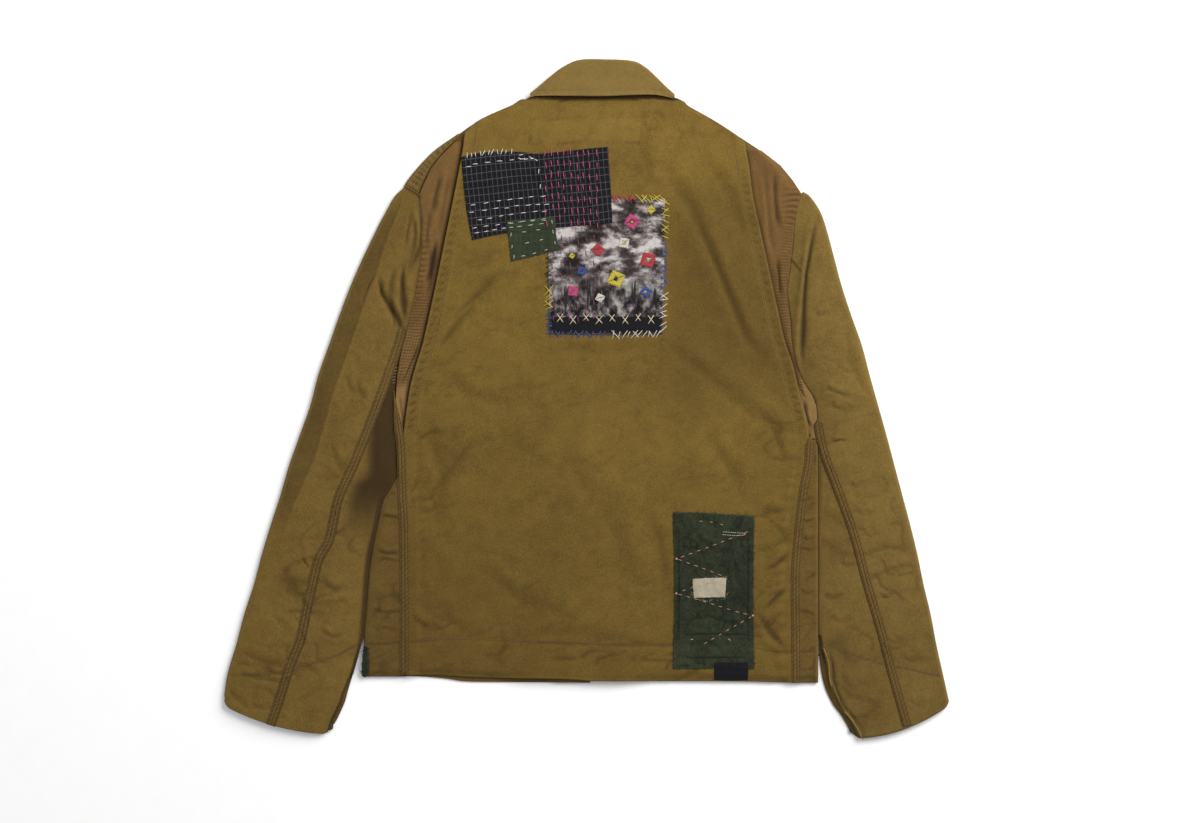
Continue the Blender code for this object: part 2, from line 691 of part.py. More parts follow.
def make_fasteners(collection):
    for n, y in enumerate(BUTTON_ROWS):
        x = placket_edge(y) - 19.0
        make_round(f"button_{n + 1}", x, y, 0.0, BUTTON_RADIUS, BUTTON_HEIGHT, (0.05, 0.035, 0.02),
                   collection, 0.5, 0.0)
    for name, x, y in (("snap_left", -291.0, -368.0), ("snap_right", 300.5, -371.5)):
        make_round(name, x, y, WALL + GAP, SNAP_RADIUS, SNAP_HEIGHT, (0.6, 0.58, 0.52), collection,
                   0.3, 1.0)


# Patches, each made from the panel's own points and moved out


def laid_patch(name, rows, box, outline, raise_by, colour, collection, cutters, cuts=1, wall=THIN):
    """A patch: the panel's facets inside a box, moved out by a rule and trimmed to an outline."""
    mesh = grid_mesh(name, rows)
    bm = bmesh.new()
    bm.from_mesh(mesh)
    x0, x1, y0, y1 = box

    def outside(face):
        xs = [v.co.x / MM for v in face.verts]
        ys = [v.co.y / MM for v in face.verts]
        return max(xs) < x0 or min(xs) > x1 or max(ys) < y0 or min(ys) > y1

    bm.normal_update()
    up = sum(f.normal.z for f in bm.faces)
    bmesh.ops.delete(bm, geom=[f for f in bm.faces if outside(f)], context="FACES")
    if up < 0:
        bmesh.ops.reverse_faces(bm, faces=bm.faces[:])
    if cuts:
        bmesh.ops.subdivide_edges(bm, edges=bm.edges[:], cuts=cuts, use_grid_fill=True)
        bmesh.ops.triangulate(bm, faces=bm.faces[:])
    bm.normal_update()
    moves = []
    for vert in bm.verts:
        out = WALL / 2 + wall / 2 + raise_by(vert.co.x / MM, vert.co.y / MM)
        moves.append((vert, vert.co + vert.normal * out * MM))
    for vert, place in moves:
        vert.co = place
    bm.to_mesh(mesh)
    bm.free()
    obj = add_object(name, mesh, colour, collection)
    thicken(obj, wall)
    cutter = bpy.data.objects.new(name + "_cutter", outline_mesh(name + "_cutter", outline, -5.0, 30.0))
    cutters.objects.link(cutter)
    cutter.hide_render = True
    cutter.display_type = "WIRE"
    trim = obj.modifiers.new("Trim", "BOOLEAN")
    trim.operation = "INTERSECT"
    trim.solver = "EXACT"
    trim.object = cutter
    return obj


def plan(points):
    """Plan points from places on the photograph's grid, where one step is 1.13 mm."""
    return [((x - 587.0) * 1.13, (401.5 - y) * 1.13) for x, y in points]


STEP = THIN + GAP


def make_patches(collection, cutters):
    rows = back_rows()

    def picture_raise(x, y):
        return GAP

    def check_raise(x, y):
        return GAP + STEP * smooth(-86, -70, x) * (1 - smooth(246, 262, y))

    def small_raise(x, y):
        return GAP + STEP * smooth(160, 174, y) + STEP * smooth(-86, -70, x)

    def cream_raise(x, y):
        return GAP + STEP

    picture = plan([(547.5, 198), (606, 198.5), (665, 199), (664, 262), (662.5, 334), (605, 334.5),
                    (549, 334), (548.5, 270)])
    check = plan([(461, 157), (480, 153), (500, 151.5), (520, 152), (538, 153.5), (560, 152), (585, 149),
                  (608, 147), (610, 180), (612, 223), (590, 225), (560, 227), (545, 229), (507, 233),
                  (490, 237), (472, 240), (465, 200)])
    small = plan([(506.6, 220.3), (554.8, 217.3), (558.6, 249.4), (511.2, 261.6)])
    large = plan([(673, 512.4), (700, 512.8), (754.4, 516), (753.7, 588), (754.4, 669), (713, 668.5),
                  (673, 669), (674.4, 590)])
    cream = plan([(693.4, 579), (726.3, 577.7), (724.9, 597.3), (694, 598)])
    hem = plan([(714.4, 662.3), (748.3, 662.3), (748, 680.2), (714.4, 680.2)])
    laid_patch("patch_picture", rows, (-55, 100, 60, 245), picture, picture_raise, (0.16, 0.13, 0.13),
               collection, cutters, 0)
    laid_patch("patch_check", rows, (-160, 40, 170, 300), check, check_raise, (0.024, 0.021, 0.026),
               collection, cutters)
    laid_patch("patch_green_small", rows, (-105, -20, 145, 225), small, small_raise, (0.042, 0.052, 0.028),
               collection, cutters)
    laid_patch("patch_green_large", rows, (85, 205, -315, -110), large, picture_raise, (0.026, 0.031, 0.017),
               collection, cutters, 0)
    laid_patch("label_cream", rows, (110, 165, -230, -190), cream, cream_raise, (0.55, 0.52, 0.42),
               collection, cutters, 0)
    laid_patch("label_hem", rows, (135, 190, -330, -285), hem, cream_raise, (0.008, 0.008, 0.012),
               collection, cutters, 0)
    corner_rows = [row[1:6] for row in side_rows("left")]
    corner = [(-258, -276), (-244, -274), (-243, -309.5), (-258, -309.5)]
    laid_patch("patch_side", corner_rows, (-262, -240, -325, -260), corner, picture_raise,
               (0.035, 0.045, 0.02), collection, cutters, 0)


def main():
    for obj in list(bpy.data.objects):
        bpy.data.objects.remove(obj, do_unlink=True)
    collection = bpy.data.collections.new("Patched work jacket")
    bpy.context.scene.collection.children.link(collection)
    cutters = bpy.data.collections.new("Cutters")
    bpy.context.scene.collection.children.link(cutters)
    make_sleeves(collection)
    make_body(collection)
    make_leaves(collection)
    make_fasteners(collection)
    make_patches(collection, cutters)
    origin = bpy.data.objects.new("jacket_origin", None)
    bpy.context.scene.collection.objects.link(origin)
    origin.location = (CENTRE[0] * MM, CENTRE[1] * MM, 0.0)
    for obj in list(collection.objects) + list(cutters.objects):
        obj.parent = origin


main()
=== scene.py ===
"""Looks of a patched work jacket that lies flat on its front.

Plan points are in millimetres: X to the right of the back view, Y towards the collar, Z up.
They become metres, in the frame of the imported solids, when a mesh is made.
"""

import functools
import math

import bpy
import numpy as np
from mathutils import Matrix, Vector
from mathutils.bvhtree import BVHTree


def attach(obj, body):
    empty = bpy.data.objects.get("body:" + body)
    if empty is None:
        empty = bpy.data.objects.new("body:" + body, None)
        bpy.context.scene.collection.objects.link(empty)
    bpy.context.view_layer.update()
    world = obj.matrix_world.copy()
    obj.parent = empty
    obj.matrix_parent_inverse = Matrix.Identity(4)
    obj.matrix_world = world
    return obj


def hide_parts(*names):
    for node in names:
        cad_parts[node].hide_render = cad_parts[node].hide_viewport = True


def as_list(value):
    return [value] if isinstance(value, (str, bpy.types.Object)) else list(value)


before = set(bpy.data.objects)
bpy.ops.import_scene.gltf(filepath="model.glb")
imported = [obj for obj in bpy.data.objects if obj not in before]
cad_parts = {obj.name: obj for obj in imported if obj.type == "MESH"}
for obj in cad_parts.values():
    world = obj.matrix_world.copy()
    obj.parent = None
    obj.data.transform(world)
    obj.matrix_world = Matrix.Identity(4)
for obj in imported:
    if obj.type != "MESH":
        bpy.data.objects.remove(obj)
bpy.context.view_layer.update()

MM = 0.001
CENTRE = (0.5, -3.2)
LOW = 0.75
SEAM_HEIGHT = 4.8
BACK_HEIGHT = 5.0
PHOTO_STEP = 1.13

OUTER_LEFT = [(-206.8, 242.4), (-217, 233), (-227, 216), (-236, 199), (-252, 166), (-267, 132), (-280, 98),
              (-292, 64), (-304, 30), (-313, -4), (-325, -38), (-337, -72), (-347, -106), (-358, -140),
              (-368, -173), (-377, -207), (-388, -241), (-397, -275), (-407, -309), (-412, -343)]
OUTER_RIGHT = [(241.8, 239), (251.5, 233), (263.5, 216), (270, 199), (279, 166), (288, 132), (299, 98),
               (311, 64), (320, 30), (329.5, -4), (339, -38), (348, -72), (357, -106), (366, -140),
               (374, -173), (381, -207), (389, -241), (395.5, -275), (403, -309), (411, -343)]
INNER_LEFT = [(-190, 233), (-185.5, 194), (-189.5, 149), (-198.5, 103), (-206, 74), (-213, 44), (-216.5, 2),
              (-215.8, -30), (-215.3, -70), (-216.5, -97), (-231, -112), (-238, -145), (-245, -179),
              (-249, -224), (-252.5, -262), (-260, -292), (-270, -326), (-275, -343), (-292, -378)]
INNER_RIGHT = [(243, 238.5), (239.6, 225.4), (236.5, 212.3), (234.1, 192.2), (233.5, 179), (229.5, 147),
               (226.8, 127), (227.5, 113.8), (230.6, 90), (231.8, 70), (235.5, 48), (242, 29), (249, 16),
               (257.8, 2.3), (260.3, -15), (260.6, -30), (261, -45), (261.8, -60), (262, -150), (262, -262),
               (263, -290), (268, -320), (278, -343), (289, -360), (301, -383)]
SEAM_LEFT = [(-205, 84), (-206.1, 80.8), (-221.5, 42.4), (-237.3, -5.1), (-262.2, -68.4), (-280.7, -110.2),
             (-291.2, -156.5), (-302.4, -177.1), (-308.7, -200.9), (-316.6, -235.8), (-323, -267.5),
             (-335.6, -299.2), (-343.5, -324.5), (-356.3, -362.6), (-360, -380)]
SEAM_RIGHT = [(255, 0), (260.6, -20.3), (267.5, -54.8), (283.1, -97.7), (301.7, -149.7), (316.2, -204),
              (330.4, -251.4), (343.1, -299.3), (363.9, -368.9), (368, -390)]
BACK_EDGE_LEFT = [(-138, 304.5), (-141.4, 279.7), (-149.7, 236.7), (-161.3, 180.2), (-174.6, 115.6),
                  (-186.3, 64), (-194.2, 38.6), (-200.6, 13.2), (-207.7, -37.5), (-208.6, -50),
                  (-206.4, -100), (-204.5, -134), (-203.4, -224), (-203.4, -309.5)]
BACK_EDGE_RIGHT = [(177.9, 292.9), (182.8, 266.5), (187.8, 230), (194.5, 200.1), (201, 170.3), (207.7, 140.5),
                   (214.4, 108.9), (223.3, 69.6), (232.9, 40.2), (239.8, 10.8), (245, -11.6), (250.2, -35.9),
                   (249.3, -67), (243.5, -98.9), (237.9, -146.3), (234.2, -194.9), (234.4, -258.2),
                   (235, -318.1)]
SHOULDER_LEFT = [(-206, 243.4), (-203, 250), (-189, 267), (-172, 284), (-148, 301), (-123, 318), (-86, 335),
                 (-70.4, 342.2)]
SHOULDER_RIGHT = [(108.5, 340.2), (114, 335), (144, 318), (171, 301), (197, 284), (219, 267), (233, 250),
                  (241.4, 239.6)]
NECK_SEAM = [(-70.4, 342.2), (-62, 345.4), (-40, 349.5), (-10, 352), (20, 352.5), (50, 352), (80, 349),
             (98, 344.5), (108.5, 340.2)]
COLLAR_FOLD = [(-64, 348.8), (-55.4, 355.7), (-41.8, 367.3), (-28.3, 377.6), (-10.2, 386.1), (21, 387),
               (53.1, 384.8), (66.7, 377.6), (78, 367.3), (89.8, 355.7), (99, 347.5)]
COLLAR_EDGE = [(-64, 343.4), (-57.6, 345.2), (-20, 345), (18.1, 344.7), (75.7, 346.3), (99, 342.4)]
HEM = [(-203.4, -309.5), (-175, -309), (-141, -311), (-107, -312.5), (-56, -313), (-18, -314), (10, -316),
       (96, -316), (180, -316.5), (235, -318.1)]
GUSSET_OUT_LEFT = [(-143.5, 299), (-166.1, 277), (-177.4, 262), (-188, 239), (-189.4, 232)]
GUSSET_OUT_RIGHT = [(184, 288.5), (197, 284), (219, 267), (233, 250), (242.6, 238.2)]
ROWS_LEFT = [(242.4, 233), (222, 205), (200, 176), (178, 146), (153, 114), (124, 81), (106, 64), (80, 32),
             (52, 0), (25, -30), (-2, -60), (-30, -86), (-58, -112), (-86, -138), (-114, -164), (-142, -190),
             (-170, -216), (-198, -240), (-226, -262), (-254, -284), (-282, -308), (-308, -334),
             (-330, -360), (-343, -376)]
ROWS_RIGHT = [(237, 235.5), (218, 212), (197, 188), (175, 163), (152, 138), (129, 113), (105, 88), (81, 62),
              (57, 36), (33, 12), (11, -9), (-10, -30), (-28, -48), (-50, -70), (-76, -96), (-102, -122),
              (-130, -150), (-158, -178), (-186, -206), (-214, -234), (-244, -264), (-276, -296),
              (-310, -335), (-343, -381)]


def plan(points):
    """Plan points from places on the photograph's grid, where one step is 1.13 mm."""
    return [((x - 587.0) * PHOTO_STEP, (401.5 - y) * PHOTO_STEP) for x, y in points]


def smooth(low, high, value):
    """Ease from 0 at low to 1 at high."""
    t = np.clip((np.asarray(value, float) - low) / (high - low), 0.0, 1.0)
    return t * t * (3.0 - 2.0 * t)


def bell(value, width):
    return np.exp(-(np.asarray(value) / width) ** 2)


def most(*values):
    """The largest of the values at each place."""
    return functools.reduce(np.maximum, values)


def interpolate(knots, values, s):
    """Smooth values at s through the values at the rising knots."""
    knots = np.asarray(knots, float)
    values = np.asarray(values, float)
    s = np.clip(np.asarray(s, float), knots[0], knots[-1])
    last = len(knots) - 1
    i = np.clip(np.searchsorted(knots, s, side="left") - 1, 0, last - 1)
    before = np.maximum(np.arange(last + 1) - 1, 0)
    after = np.minimum(np.arange(last + 1) + 1, last)
    slope = (values[after] - values[before]) / (knots[after] - knots[before])
    width = knots[i + 1] - knots[i]
    t = (s - knots[i]) / width
    start = values[i] * (2 * t ** 3 - 3 * t ** 2 + 1) + slope[i] * width * (t ** 3 - 2 * t ** 2 + t)
    end = values[i + 1] * (3 * t ** 2 - 2 * t ** 3) + slope[i + 1] * width * (t ** 3 - t ** 2)
    return start + end


def way_along(points):
    """Length along a bent line at each of its points."""
    return np.concatenate([[0.0], np.cumsum(np.hypot(*np.diff(points, axis=0).T))])


class Line:
    """A line through plan points, read by its height, by its width or by its length."""

    def __init__(self, points):
        self.points = np.asarray(points, float)
        self.lengths = way_along(self.points)

    def read(self, value, by, wanted):
        order = self.points[np.argsort(self.points[:, by], kind="stable")]
        return interpolate(order[:, by], order[:, wanted], value)

    def x(self, y):
        return self.read(y, 1, 0)

    def y(self, x):
        return self.read(x, 0, 1)

    def at(self, fraction):
        s = np.asarray(fraction, float) * self.lengths[-1]
        return tuple(interpolate(self.lengths, values, s) for values in self.points.T)


def crossing(a, b, points):
    """Fraction of the way from a to b where the line through the points is met."""
    for p, q in zip(points, points[1:]):
        rx, ry = b[0] - a[0], b[1] - a[1]
        sx, sy = q[0] - p[0], q[1] - p[1]
        det = rx * sy - ry * sx
        if abs(det) < 1e-9:
            continue
        t = ((p[0] - a[0]) * sy - (p[1] - a[1]) * sx) / det
        w = ((p[0] - a[0]) * ry - (p[1] - a[1]) * rx) / det
        if -1e-9 <= w <= 1 + 1e-9 and -0.2 < t < 1.2:
            return t
    return None


def to_line(x, y, points):
    """Distance from each place to a line, the side it is on (positive to the left) and the way along."""
    points = np.asarray(points, float)
    best = np.full(np.shape(x), 1e9)
    side = np.zeros(np.shape(x))
    along = np.zeros(np.shape(x))
    done = 0.0
    for (ax, ay), (bx, by) in zip(points, points[1:]):
        dx, dy = bx - ax, by - ay
        length = math.hypot(dx, dy)
        t = np.clip(((x - ax) * dx + (y - ay) * dy) / (length * length), 0.0, 1.0)
        ex, ey = x - ax - t * dx, y - ay - t * dy
        d = np.hypot(ex, ey)
        near = d < best
        best = np.where(near, d, best)
        side = np.where(near, np.sign(dx * ey - dy * ex), side)
        along = np.where(near, done + t * length, along)
        done += length
    return best, side, along, done


def wavy(x, y, seed, size):
    """Smooth random ups and downs between about -1 and 1, some millimetres across."""
    rng = np.random.default_rng(seed)
    total = np.zeros(np.shape(x))
    for _ in range(9):
        angle = rng.uniform(0, 2 * math.pi)
        scale = size * rng.uniform(0.7, 1.5)
        total = total + np.sin((x * math.cos(angle) + y * math.sin(angle)) * 2 * math.pi / scale
                               + rng.uniform(0, 2 * math.pi))
    return total / 4.2


def creased(x, y, seed, size, thin=0.34):
    """Thin bent creases: 1 on a crease, 0 away from it, fading out in places."""
    line = smooth(thin, 0.0, np.abs(wavy(x, y, seed, size))) ** 1.5
    return line * smooth(-0.1, 0.7, wavy(x, y, seed + 500, size * 1.9))


# Meshes


def make_mesh(name, verts, faces):
    """A mesh from points in millimetres and faces that all have the same number of corners."""
    verts = (np.asarray(verts, float).reshape(-1, 3) + np.array([CENTRE[0], CENTRE[1], 0.0])) * MM
    faces = np.asarray(faces, np.int32)
    count, corners = faces.shape
    mesh = bpy.data.meshes.new(name)
    mesh.vertices.add(len(verts))
    mesh.vertices.foreach_set("co", verts.astype(np.float32).ravel())
    mesh.loops.add(count * corners)
    mesh.loops.foreach_set("vertex_index", faces.ravel())
    mesh.polygons.add(count)
    mesh.polygons.foreach_set("loop_start", np.arange(0, count * corners, corners, dtype=np.int32))
    mesh.update(calc_edges=True)
    mesh.validate()
    return mesh


def add_object(name, mesh, material):
    obj = place_object(name, mesh)
    mesh.materials.append(material)
    mesh.shade_smooth()
    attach(obj, "root")
    return obj


def add_values(mesh, name, values):
    """Stores one number for each point, for the materials to read."""
    attribute = mesh.attributes.new(name, "FLOAT", "POINT")
    attribute.data.foreach_set("value", np.clip(np.asarray(values, np.float32).ravel(), 0.0, 1.0))


def grid_faces(rows, cols):
    index = np.arange(rows * cols).reshape(rows, cols)
    a, b, c, d = index[:-1, :-1], index[:-1, 1:], index[1:, 1:], index[1:, :-1]
    return np.stack([a, b, c, d], axis=-1).reshape(-1, 4)


SHEETS = {}


def cloth(name, grid, material, wall, shade, wear, keep=None, flip=False, even=True, node=None):
    """A sheet of cloth from a grid of places, given row by row, with a real thickness."""
    rows, cols = grid.shape[:2]
    faces = grid_faces(rows, cols)
    if keep is not None:
        faces = faces[keep[:-1, :-1].ravel()]
    if flip:
        faces = faces[:, ::-1]
    used = np.zeros(rows * cols, bool)
    used[faces.ravel()] = True
    place = np.cumsum(used) - 1
    SHEETS[name] = (grid.reshape(-1, 3)[used], place[faces], wall)
    mesh = make_mesh(name, grid.reshape(-1, 3)[used], place[faces])
    for key, values in (("shade", shade), ("wear", wear)):
        add_values(mesh, key, np.broadcast_to(values, (rows, cols)).ravel()[used])
    obj = add_object(name, mesh, material)
    solid = obj.modifiers.new("Solidify", "SOLIDIFY")
    solid.thickness = wall * MM
    solid.offset = 0.0
    solid.use_even_offset = even
    solid.use_quality_normals = True
    solid.thickness_clamp = 1.0
    if node:
        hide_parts(node)
    return obj


def spread(total, inner, edge=2.0, fine=1.2):
    """Places along a length, close together near both ends."""
    count = max(2, int(round((total - 2 * edge) / inner)))
    ends = max(1, int(round(edge / fine)))
    low = np.linspace(0.0, edge, ends + 1)
    middle = np.linspace(edge, total - edge, count + 1)[1:-1]
    return np.concatenate([low, middle, total - low[::-1]])


# Materials


def srgb(code):
    """Linear colour from a hexadecimal one."""
    parts = [int(code[i:i + 2], 16) / 255.0 for i in (0, 2, 4)]
    return tuple(0.71 * (c / 12.92 if c <= 0.04045 else ((c + 0.055) / 1.055) ** 2.4) for c in parts)


class Nodes:
    """Short ways to add and join shader nodes."""

    def __init__(self, name):
        self.material = bpy.data.materials.new(name)
        self.material.use_nodes = True
        self.tree = self.material.node_tree
        self.shader = self.tree.nodes["Principled BSDF"]

    def add(self, kind, **settings):
        node = self.tree.nodes.new("ShaderNode" + kind)
        for key, value in settings.items():
            setattr(node, key, value)
        return node

    def join(self, value, socket):
        if isinstance(value, bpy.types.NodeSocket):
            self.tree.links.new(value, socket)
        elif isinstance(value, tuple) and len(socket.default_value) == 4:
            socket.default_value = (*value, 1.0)
        else:
            socket.default_value = value

    def set(self, node, **values):
        for key, value in values.items():
            self.join(value, node.inputs[key.replace("_", " ")])

    def math(self, operation, *values):
        node = self.add("Math", operation=operation)
        for value, socket in zip(values, node.inputs):
            self.join(value, socket)
        return node.outputs[0]

    def sway(self, value, amount, onto):
        """Adds the value's distance from a half, times an amount."""
        return self.math("MULTIPLY_ADD", self.math("SUBTRACT", value, 0.5), amount, onto)

    def mix(self, factor, a, b, blend="MIX"):
        node = self.add("Mix", data_type="RGBA", blend_type=blend)
        for k, value in ((0, factor), (6, a), (7, b)):
            self.join(value, node.inputs[k])
        return node.outputs[2]

    def place(self, turn=0.0, scale=(1.0, 1.0, 1.0)):
        where = self.add("TexCoord")
        mapping = self.add("Mapping", vector_type="POINT")
        self.set(mapping, Rotation=(0.0, 0.0, math.radians(turn)), Scale=scale, Vector=where.outputs["Object"])
        return mapping.outputs[0]

    def split(self, where=None):
        node = self.add("SeparateXYZ")
        self.join(where or self.place(), node.inputs[0])
        return node.outputs

    def noise(self, where, scale, detail=2.0, rough=0.5):
        node = self.add("TexNoise")
        self.set(node, Vector=where, Scale=scale, Detail=detail, Roughness=rough)
        return node.outputs[0]

    def wave(self, where, pitch, direction="X", distortion=0.0):
        """Bands a pitch apart, in metres."""
        node = self.add("TexWave", bands_direction=direction)
        size = 0.6283 if direction == "DIAGONAL" else 0.31416
        self.set(node, Vector=where, Scale=size / pitch, Distortion=distortion)
        return node.outputs[1]

    def value(self, name):
        return self.add("Attribute", attribute_name=name).outputs["Fac"]

    def ramp(self, factor, stops):
        node = self.add("ValToRGB")
        self.join(factor, node.inputs[0])
        elements = node.color_ramp.elements
        while len(elements) < len(stops):
            elements.new(0.5)
        for element, (place, colour) in zip(elements, stops):
            element.position = place
            element.color = (*(srgb(colour) if isinstance(colour, str) else colour), 1.0)
        return node.outputs[0]

    def bump(self, height, strength, distance):
        node = self.add("Bump")
        self.set(node, Strength=strength, Distance=distance, Height=height)
        self.tree.links.new(node.outputs[0], self.shader.inputs["Normal"])

    def finish(self, colour, roughness=0.9, metallic=0.0, sheen=0.0, specular=0.2):
        self.set(self.shader, Base_Color=colour, Roughness=roughness, Metallic=metallic, Sheen_Weight=sheen,
                 Sheen_Roughness=0.5, Specular_IOR_Level=specular)
        return self.material


def cloth_material(name, code, wear_and_highlight, dark, turn=0.0, weave="twill", pitch=0.0011, mottle=0.18, slub=0.14,
                   pattern=None, upward_lightening=0.0):
    """Woven cotton: weave, slubs, uneven fading, a tone that can grow lighter upwards, worn places with painted
    highlights on seam puckers, and painted shade in folds, gaps and shadowed places.
    """
    n = Nodes(name)
    where = n.place(turn)
    cloud = n.noise(where, 9.0, 3.0, 0.55)
    patchy = n.noise(where, 62.0, 4.0, 0.65)
    spots = n.noise(where, 520.0, 3.0, 0.65)
    threads_up = n.noise(n.place(turn, (1.0, 0.22, 1.0)), 900.0, 2.0, 0.6)
    threads_across = n.noise(n.place(turn, (0.2, 1.0, 1.0)), 800.0, 2.0, 0.6)
    if weave == "twill":
        woven = n.wave(where, pitch, "DIAGONAL")
    elif weave == "herringbone":
        side = n.math("GREATER_THAN", n.wave(where, 0.010, "X"), 0.5)
        other = n.wave(n.place(turn, (-1.0, 1.0, 1.0)), pitch, "DIAGONAL")
        both = n.add("Mix", data_type="FLOAT")
        for k, value in ((0, side), (2, n.wave(where, pitch, "DIAGONAL")), (3, other)):
            n.join(value, both.inputs[k])
        woven = both.outputs[0]
    else:
        woven = n.math("MULTIPLY", n.wave(where, pitch, "X"), n.wave(where, pitch, "Y"))
    tone = 1.0
    for value, amount in ((cloud, mottle * 2.2), (patchy, mottle * 2.6), (spots, mottle * 4.4),
                          (threads_up, slub * 2.0), (threads_across, slub * 1.4), (woven, 0.10)):
        tone = n.sway(value, amount, tone)
    # The tone grows lighter towards the collar and darker towards the hem, by the share given.
    if upward_lightening:
        high = n.math("MULTIPLY", n.split()[1], 1.0 / 0.33)
        high = n.math("MINIMUM", n.math("MAXIMUM", high, -1.0), 1.0)
        tone = n.math("MULTIPLY", tone, n.math("MULTIPLY_ADD", high, upward_lightening, 1.0))
    ground = srgb(code) if pattern is None else pattern(n, where, srgb(code))
    grey = n.add("CombineColor")
    for socket in grey.inputs[:3]:
        n.join(tone, socket)
    colour = n.mix(1.0, ground, grey.outputs[0], "MULTIPLY")
    # The wear values lighten the colour: worn places, and painted highlights on the crests of seam puckers.
    wear_and_highlight_mask = n.math("MULTIPLY", n.value("wear"), n.math("MULTIPLY_ADD", patchy, 1.0, 0.35))
    colour = n.mix(n.math("MINIMUM", wear_and_highlight_mask, 1.0), colour, srgb(wear_and_highlight))
    # Painted shade: the shade values darken the colour towards the dark colour in folds, gaps and shadowed places.
    colour = n.mix(n.math("MULTIPLY", n.value("shade"), 0.95), colour, srgb(dark))
    height = n.math("MULTIPLY_ADD", woven, 0.35, n.math("MULTIPLY", threads_up, 0.5))
    height = n.math("ADD", height, n.math("MULTIPLY", threads_across, 0.4))
    height = n.math("MULTIPLY_ADD", n.noise(where, 260.0, 3.0), 0.7, height)
    n.bump(height, 0.55, 0.00025)
    return n.finish(colour, n.sway(patchy, -0.12, 0.9), sheen=0.06, specular=0.15)


def thread_material(name, code):
    n = Nodes(name)
    where = n.place()
    twist = n.wave(where, 0.0006, "DIAGONAL", 1.5)
    uneven = n.noise(where, 300.0, 2.0)
    light = tuple(min(1.0, c * 1.18 + 0.004) for c in srgb(code))
    low = tuple(c * 0.72 for c in srgb(code))
    # Lighter and darker tones follow the twist: painted highlight and painted shade on the plies, on top of the
    # bump.
    mixed = n.math("MULTIPLY_ADD", twist, 0.55, n.math("MULTIPLY", uneven, 0.45))
    colour = n.mix(mixed, low, light)
    n.bump(twist, 0.5, 0.00015)
    return n.finish(colour, 0.6, sheen=0.15, specular=0.3)


def thin_lines(n, value, pitch, part):
    """Is 1 on lines a pitch apart that take up a part of it."""
    return n.math("LESS_THAN", n.math("FRACT", n.math("DIVIDE", value, pitch)), part)


def check_pattern(n, where, base):
    """Thin pale lines across a dark ground: 5.5 mm apart one way and 8.3 mm the other."""
    bend = n.noise(where, 14.0, 1.0)
    x, y, _ = n.split(where)
    u, v = n.sway(bend, 0.004, x), n.sway(bend, 0.006, y)
    upright, level = thin_lines(n, u, 0.0055, 0.13), thin_lines(n, v, 0.0083, 0.085)
    broken = n.math("MULTIPLY_ADD", n.noise(where, 420.0, 2.0), 0.9, 0.2)
    lines = n.math("MULTIPLY", n.math("MAXIMUM", n.math("MULTIPLY", upright, 0.8), level), broken)
    return n.mix(n.math("MINIMUM", lines, 1.0), base, srgb("66646b"))


def ripstop_pattern(n, where, base):
    x, y, _ = n.split(where)
    u, v = thin_lines(n, x, 0.0060, 0.14), thin_lines(n, y, 0.0060, 0.14)
    light = tuple(c * 1.45 + 0.004 for c in base)
    return n.mix(n.math("MULTIPLY", n.math("MAXIMUM", u, v), 0.55), base, light)


def print_pattern(n, where, base):
    """A generic printed ground: cloudy greys over a dark lower part, with a black band at the bottom."""
    y = n.split(where)[1]
    cloud = n.noise(n.place(20.0, (1.0, 1.8, 1.0)), 42.0, 6.0, 0.62)
    low_cloud = n.noise(n.place(-8.0, (1.6, 1.0, 1.0)), 75.0, 5.0, 0.65)
    sky = n.ramp(cloud, [(0.38, "241f1c"), (0.46, "4b4341"), (0.53, "928987"), (0.60, "d6d0cc")])
    ground = n.ramp(low_cloud, [(0.41, "171315"), (0.49, "453d3f"), (0.56, "786e6e"), (0.66, "b9b1ad")])
    top = n.math("DIVIDE", n.math("SUBTRACT", y, 0.105), 0.05)
    edge = n.math("ADD", top, n.math("MULTIPLY", n.math("SUBTRACT", low_cloud, 0.5), 1.2))
    both = n.mix(n.math("MINIMUM", n.math("MAXIMUM", edge, 0.0), 1.0), ground, sky)
    band = n.math("LESS_THAN", n.sway(n.noise(where, 160.0, 3.0), 0.006, y), 0.0925)
    return n.mix(band, both, srgb("17151a"))


# Colour, colour of wear and painted highlights, colour of painted shade, then the weave's turn

khaki = cloth_material("khaki_twill", "785f28", "937838", "35260e", mottle=0.23, upward_lightening=0.15)
khaki_side = cloth_material("khaki_twill_side", "6d5526", "8b7037", "2c1f0d", 2.0, mottle=0.22, upward_lightening=0.08)
khaki_left = cloth_material("khaki_twill_left_sleeve", "785f2b", "91763c", "33230f", 21.0, mottle=0.22)
khaki_right = cloth_material("khaki_twill_right_sleeve", "79612e", "957e42", "372a12", -15.0, mottle=0.22,
                             upward_lightening=0.12)
khaki_collar = cloth_material("khaki_twill_collar", "876e39", "a0854b", "3a2b14", 90.0, mottle=0.11)
khaki_seam = cloth_material("khaki_felled_seam", "6b5427", "8b713c", "281b0b", mottle=0.2, slub=0.2, upward_lightening=0.10)
brown = cloth_material("brown_gusset_cotton", "7a5b31", "987747", "2b1c0f", 0.0, "plain", 0.0009, 0.13)
inside = cloth_material("khaki_twill_inner", "6d552a", "866c3a", "33260f", 4.0, mottle=0.12)
check = cloth_material("check_cotton", "161418", "2a292e", "070609", -5.5, "plain", 0.0008, 0.10, 0.10,
                       check_pattern)
green = cloth_material("green_ripstop_cotton", "363d2a", "505742", "13170d", 3.0, "plain", 0.0009, 0.18,
                       pattern=ripstop_pattern)
dark_green = cloth_material("dark_green_herringbone", "2c3221", "515940", "0f1309", 1.0, "herringbone",
                            0.0013, 0.60, 0.22)
